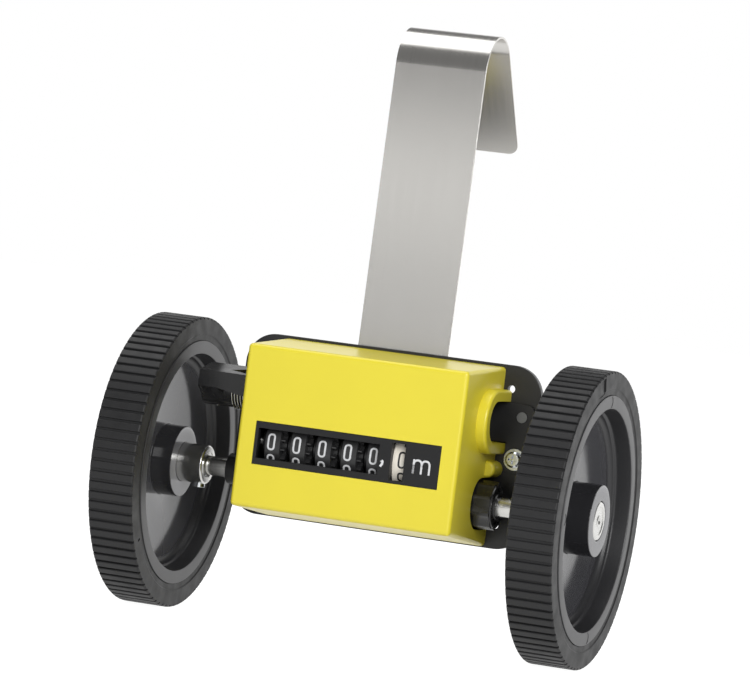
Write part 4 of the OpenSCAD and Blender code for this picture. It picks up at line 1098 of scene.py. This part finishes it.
class COUNTER_OT_plate(Operator):
    """Models the black back plate with its rounded corners and holes"""
    bl_idname = "counter.plate"
    bl_label = "Back plate"

    def execute(self, context):
        plate = block("back_plate_piece", PLATE_LOW, PLATE_HIGH)
        bevel_edges(plate, lambda e: runs_along(e, 1), PLATE_CORNER, segments=16)
        middle_z = (PLATE_LOW.z + PLATE_HIGH.z) / 2
        front, back = PLATE_LOW.y - OVERRUN, PLATE_HIGH.y + OVERRUN
        for x in (-FIXING_X, FIXING_X):
            for z in (middle_z - FIXING_Z, middle_z + FIXING_Z):
                cut(plate, rod("hole", (x, front, z), (x, back, z), FIXING_R, segments=40))
        rounded(outwards(plate), PLATE_EASE, segments=3, angle=40)
        finish_piece(plate, powder_coat(), "black_paint", "root", "back_plate")
        return {"FINISHED"}


# Bend of the strap: the lean of its front leg, the top of that leg, the outer radius, and the
# angle from straight down and the length of its back leg
STRAP_LEAN = 1.9
STRAP_BEND_Z = 153.0
STRAP_BEND_R = 14.5
STRAP_BACK_ANGLE = 36.0
STRAP_BACK_L = 42.9
STRAP_EASE = 0.15


class COUNTER_OT_strap(Operator):
    """Bends the stainless strap up from the plate and over into its hook"""
    bl_idname = "counter.strap"
    bl_label = "Strap hook"

    def execute(self, context):
        settings = context.scene.counter_strap
        t = settings.thickness / MM
        y, lift, foot = PLATE_HIGH.y + t / 2, PLATE_HIGH.z, STRAP_LOW.z
        lean, back = radians(STRAP_LEAN), radians(STRAP_BACK_ANGLE)
        mean_r = STRAP_BEND_R - t / 2
        rise = STRAP_BEND_Z - lift
        step_y = rise * tan(lean)
        strap = block("strap_hook_piece", (STRAP_LOW.x, y - t, foot), (STRAP_HIGH.x, y, lift))
        edit(strap)
        pick(strap, "FACE", lambda f: f.normal.y < FACING)
        bpy.ops.mesh.delete(type="FACE")
        pick(strap, "EDGE", lambda e: runs_along(e, 0) and abs(middle(e).z - lift) < NEAR)
        extrude(0, step_y, rise)
        centre = Vector((0, y + step_y + mean_r * cos(lean), STRAP_BEND_Z - mean_r * sin(lean)))
        bpy.ops.mesh.spin(steps=40, angle=pi - lean - back, center=centre * MM, axis=(1, 0, 0))
        extrude(0, STRAP_BACK_L * sin(back), -STRAP_BACK_L * cos(back))
        mesh = bmesh.from_edit_mesh(strap.data)
        reach = max(v.co.y for v in mesh.verts)
        pick(strap, "VERT", lambda v: v.co.y > reach - NEAR * MM)
        bpy.ops.mesh.bevel(offset=settings.corner, segments=8, affect="VERTICES")
        leave()
        outwards(strap)
        modify(strap, "SOLIDIFY", thickness=t * MM, offset=0.0)
        rounded(strap, STRAP_EASE, angle=50)
        finish_piece(strap, brushed_stainless(context), "stainless", "root", "strap_hook", angle=40)
        return {"FINISHED"}


class COUNTER_OT_fasteners(Operator):
    """Dresses side frames, bushes, screws, washers and rivets"""
    bl_idname = "counter.fasteners"
    bl_label = "Side frames and fasteners"

    def execute(self, context):
        for node in ("side_frame_left", "side_frame_right"):
            dress(node, powder_coat(), "black_paint", edge=0.2)
        for node in ("axle_bush_left", "axle_bush_right"):
            dress(node, black_polyamide(), "black_plastic", edge=0.25)
        for node in ("ear_screws", "strap_screws", "case_screws"):
            dress(node, zinc_plate(), "zinc_steel", edge=0.18)
        dress("ear_washers", zinc_plate(), "zinc_steel", edge=0.15)
        dress("plate_rivets", dull_zinc(), "zinc_steel", edge=0.15)
        return {"FINISHED"}


# Return spring: outer diameter, wire, pitch, turns, points in a turn, and its two legs
SPRING_D = 13.9
SPRING_WIRE_R = 0.31
SPRING_PITCH = 1.1
SPRING_TURNS = 5.25
SPRING_STEPS = 24
SPRING_UP_LEG = 5.4
SPRING_BACK_LEG = 12.4


class COUNTER_OT_lever(Operator):
    """Dresses the reset lever and winds its return spring"""
    bl_idname = "counter.lever"
    bl_label = "Reset lever and spring"

    def execute(self, context):
        dress("reset_lever", glossy_polyamide(), "black_plastic", edge=0.25)
        mean_r = SPRING_D / 2 - SPRING_WIRE_R
        steps = round(SPRING_STEPS * SPRING_TURNS)
        spring = primitive(bpy.ops.mesh.primitive_circle_add, "reset_spring_piece", vertices=10,
                           radius=SPRING_WIRE_R * MM, location=(0, -mean_r * MM, 0))
        modify(spring, "SCREW", axis="X", angle=radians(360 * SPRING_TURNS), steps=steps,
               render_steps=steps, screw_offset=SPRING_PITCH * SPRING_TURNS * MM)
        edit(spring)
        pick(spring, "VERT", lambda v: v.is_boundary and abs(v.co.z) < MERGE * MM)
        extrude(0, 0, SPRING_UP_LEG)
        pick(spring, "VERT", lambda v: v.is_boundary and v.co.z < -mean_r / 2 * MM)
        extrude(0, SPRING_BACK_LEG, 0)
        bpy.ops.mesh.select_all(action="SELECT")
        bpy.ops.mesh.fill_holes(sides=0)
        leave()
        spring.location = ((SPRING_LOW.x + SPRING_WIRE_R) * MM, RESET_Y * MM, RESET_Z * MM)
        settle(spring)
        finish_piece(outwards(spring), spring_wire(), "spring_steel", "root", "reset_spring", angle=60)
        return {"FINISHED"}


class COUNTER_OT_works(Operator):
    """Gives the shafts, gears and other works inside the case their finishes"""
    bl_idname = "counter.works"
    bl_label = "Works inside the case"

    def execute(self, context):
        finishes = {
            turned_steel(): ("drum_shaft", "drum_spacer_left", "drum_spacer_right", "pinion_shaft",
                             "idler_shaft", "axle_collar", "collar_set_screw", "reset_shaft", "reset_comb",
                             "lever_pin", "comb_set_screws"),
            zinc_plate(): ("frame_stays", "shaft_clips"),
            hobbed_brass(): ("axle_gear", "idler_large_gear", "idler_small_gear", "drum_drive_gear"),
            ivory_plastic(context): tuple(f"transfer_pinion_{k}" for k in range(1, 6)),
        }
        for material, nodes in finishes.items():
            for node in nodes:
                for slot in frame["nodes"][node].material_slots:
                    slot.material = material
        return {"FINISHED"}


# Stage

CAMERA_PLACE = (503.643, -1485.1, 93.291)
CAMERA_RIGHT = (0.938056, 0.324184, 0.12229)
CAMERA_UP = (-0.124459, -0.014122, 0.992124)
CAMERA_REACH = 20
FOCAL_PIXELS = 4386.52
IMAGE_WIDTH = 750
SENSOR = 36.0

# Soft boxes: name, place and size in millimetres, and power in watts, and the point they aim at
LAMPS = (
    ("key_box", (750, -1100, 500), (700, 700), 16),
    ("front_box", (-320, -940, 187), (1400, 44), 0.42),
    ("low_box", (-320, -940, 112), (1400, 100), 0.18),
    ("top_box", (-380, 50, 1300), (1100, 1300), 11),
    ("back_box", (-200, 1500, 350), (3000, 900), 9),
)
LAMP_AIM = (0, 0, 40)

# Side of the floor in metres, size of its clouds in millimetres, share of its tone in a cloud and
# in the dimmed floor that the camera sees, and how bright that floor and the sky are
FLOOR_SIDE = 12
FLOOR_CLOUD = 400
FLOOR_SHADE = 0.98
FLOOR_DIM = 0.3
FLOOR_GLOW = 1.07
SKY_LEVEL = 0.24


def on_rays(tree, *kinds):
    """One on rays of these kinds, nought on all others."""
    path = add_node(tree, "ShaderNodeLightPath")
    seen = path.outputs[kinds[0]]
    for kind in kinds[1:]:
        either = add_node(tree, "ShaderNodeMath", {0: seen, 1: path.outputs[kind]}, operation="MAXIMUM")
        seen = either.outputs[0]
    return seen


class COUNTER_OT_stage(Operator):
    """Sets the floor, the soft boxes, the sky and the camera"""
    bl_idname = "counter.stage"
    bl_label = "Stage"

    def execute(self, context):
        settings = context.scene.counter_stage
        floor = primitive(bpy.ops.mesh.primitive_plane_add, "floor", size=FLOOR_SIDE,
                          location=(0, 0, TYRE_LOW.z * MM))

        def pale(tree, place):
            seen = on_rays(tree, "Is Camera Ray", "Is Glossy Ray", "Is Transmission Ray")
            tone = settings.floor_colour
            tint = add_node(tree, "ShaderNodeMix", {
                0: noise(tree, place, FLOOR_CLOUD), 6: darker(tone, FLOOR_SHADE), 7: tone}, data_type="RGBA")
            plain = add_node(tree, "ShaderNodeBsdfDiffuse", {"Color": tint.outputs[2]})
            dim = add_node(tree, "ShaderNodeBsdfDiffuse", {"Color": darker(tone, FLOOR_DIM)})
            glow = add_node(tree, "ShaderNodeEmission", {"Color": tone, "Strength": FLOOR_GLOW})
            lit = add_node(tree, "ShaderNodeAddShader", {0: dim.outputs[0], 1: glow.outputs[0]})
            return add_node(tree, "ShaderNodeMixShader", {0: seen, 1: plain.outputs[0], 2: lit.outputs[0]})
        floor.data.materials.append(surface("pale_studio_floor", pale))

        world = bpy.data.worlds.new("studio_sky")
        context.scene.world = world
        world.use_nodes = True
        tree = world.node_tree
        tree.nodes.clear()
        level = add_node(tree, "ShaderNodeMapRange", {
            "Value": on_rays(tree, "Is Camera Ray", "Is Transmission Ray"),
            "To Min": SKY_LEVEL * settings.level, "To Max": 1.0,
        })
        sky = add_node(tree, "ShaderNodeBackground", {"Color": (1, 1, 1), "Strength": level.outputs[0]})
        add_node(tree, "ShaderNodeOutputWorld", {"Surface": sky.outputs[0]})
        for name, place, size, power in LAMPS:
            turn = (Vector(place) - Vector(LAMP_AIM)).to_track_quat("Z", "Y").to_euler()
            bpy.ops.object.light_add(type="AREA", location=Vector(place) * MM, rotation=turn)
            light = bpy.context.view_layer.objects.active
            light.name = name
            light.data.shape = "RECTANGLE"
            light.data.size, light.data.size_y = size[0] * MM, size[1] * MM
            light.data.energy = power * settings.level
        right, up = Vector(CAMERA_RIGHT), Vector(CAMERA_UP)
        turn = Matrix((right, up, right.cross(up))).transposed()
        bpy.ops.object.camera_add(location=Vector(CAMERA_PLACE) * MM, rotation=turn.to_euler())
        camera = bpy.context.view_layer.objects.active
        camera.data.sensor_fit = "HORIZONTAL"
        camera.data.sensor_width = SENSOR
        camera.data.lens = FOCAL_PIXELS * SENSOR / IMAGE_WIDTH
        camera.data.clip_end = CAMERA_REACH
        context.scene.camera = camera
        context.scene.view_settings.view_transform = "Standard"
        return {"FINISHED"}


OPERATORS = (
    COUNTER_OT_stage, COUNTER_OT_tyres, COUNTER_OT_wheels, COUNTER_OT_axle, COUNTER_OT_knob,
    COUNTER_OT_case, COUNTER_OT_mask, COUNTER_OT_drums, COUNTER_OT_plate, COUNTER_OT_strap,
    COUNTER_OT_fasteners, COUNTER_OT_lever, COUNTER_OT_works,
)


class COUNTER_PT_panel(Panel):
    """Lists the settings and the pieces of the counter"""
    bl_idname = "COUNTER_PT_panel"
    bl_label = "Cable Length Counter"
    bl_space_type = "VIEW_3D"
    bl_region_type = "UI"
    bl_category = "Counter"

    def draw(self, context):
        for name, group in SETTINGS.items():
            box = self.layout.box()
            for key in group.__annotations__:
                box.prop(getattr(context.scene, name), key)
        column = self.layout.column(align=True)
        for operator in OPERATORS:
            column.operator(operator.bl_idname)


def register():
    for group in SETTINGS.values():
        bpy.utils.register_class(group)
    for cls in OPERATORS + (COUNTER_PT_panel,):
        bpy.utils.register_class(cls)
    for name, group in SETTINGS.items():
        setattr(bpy.types.Scene, name, bpy.props.PointerProperty(type=group))


def unregister():
    for name in SETTINGS:
        delattr(bpy.types.Scene, name)
    for cls in (COUNTER_PT_panel,) + OPERATORS[::-1]:
        bpy.utils.unregister_class(cls)
    for group in SETTINGS.values():
        bpy.utils.unregister_class(group)


def plain(bounds):
    """The corners as plain lists."""
    return [[float(value) for value in corner] for corner in bounds]


def main():
    """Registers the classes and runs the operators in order."""
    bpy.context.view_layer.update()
    register()
    for operator in OPERATORS:
        group, name = operator.bl_idname.split(".")
        getattr(getattr(bpy.ops, group), name)()


if __name__ == "__main__":
    main()
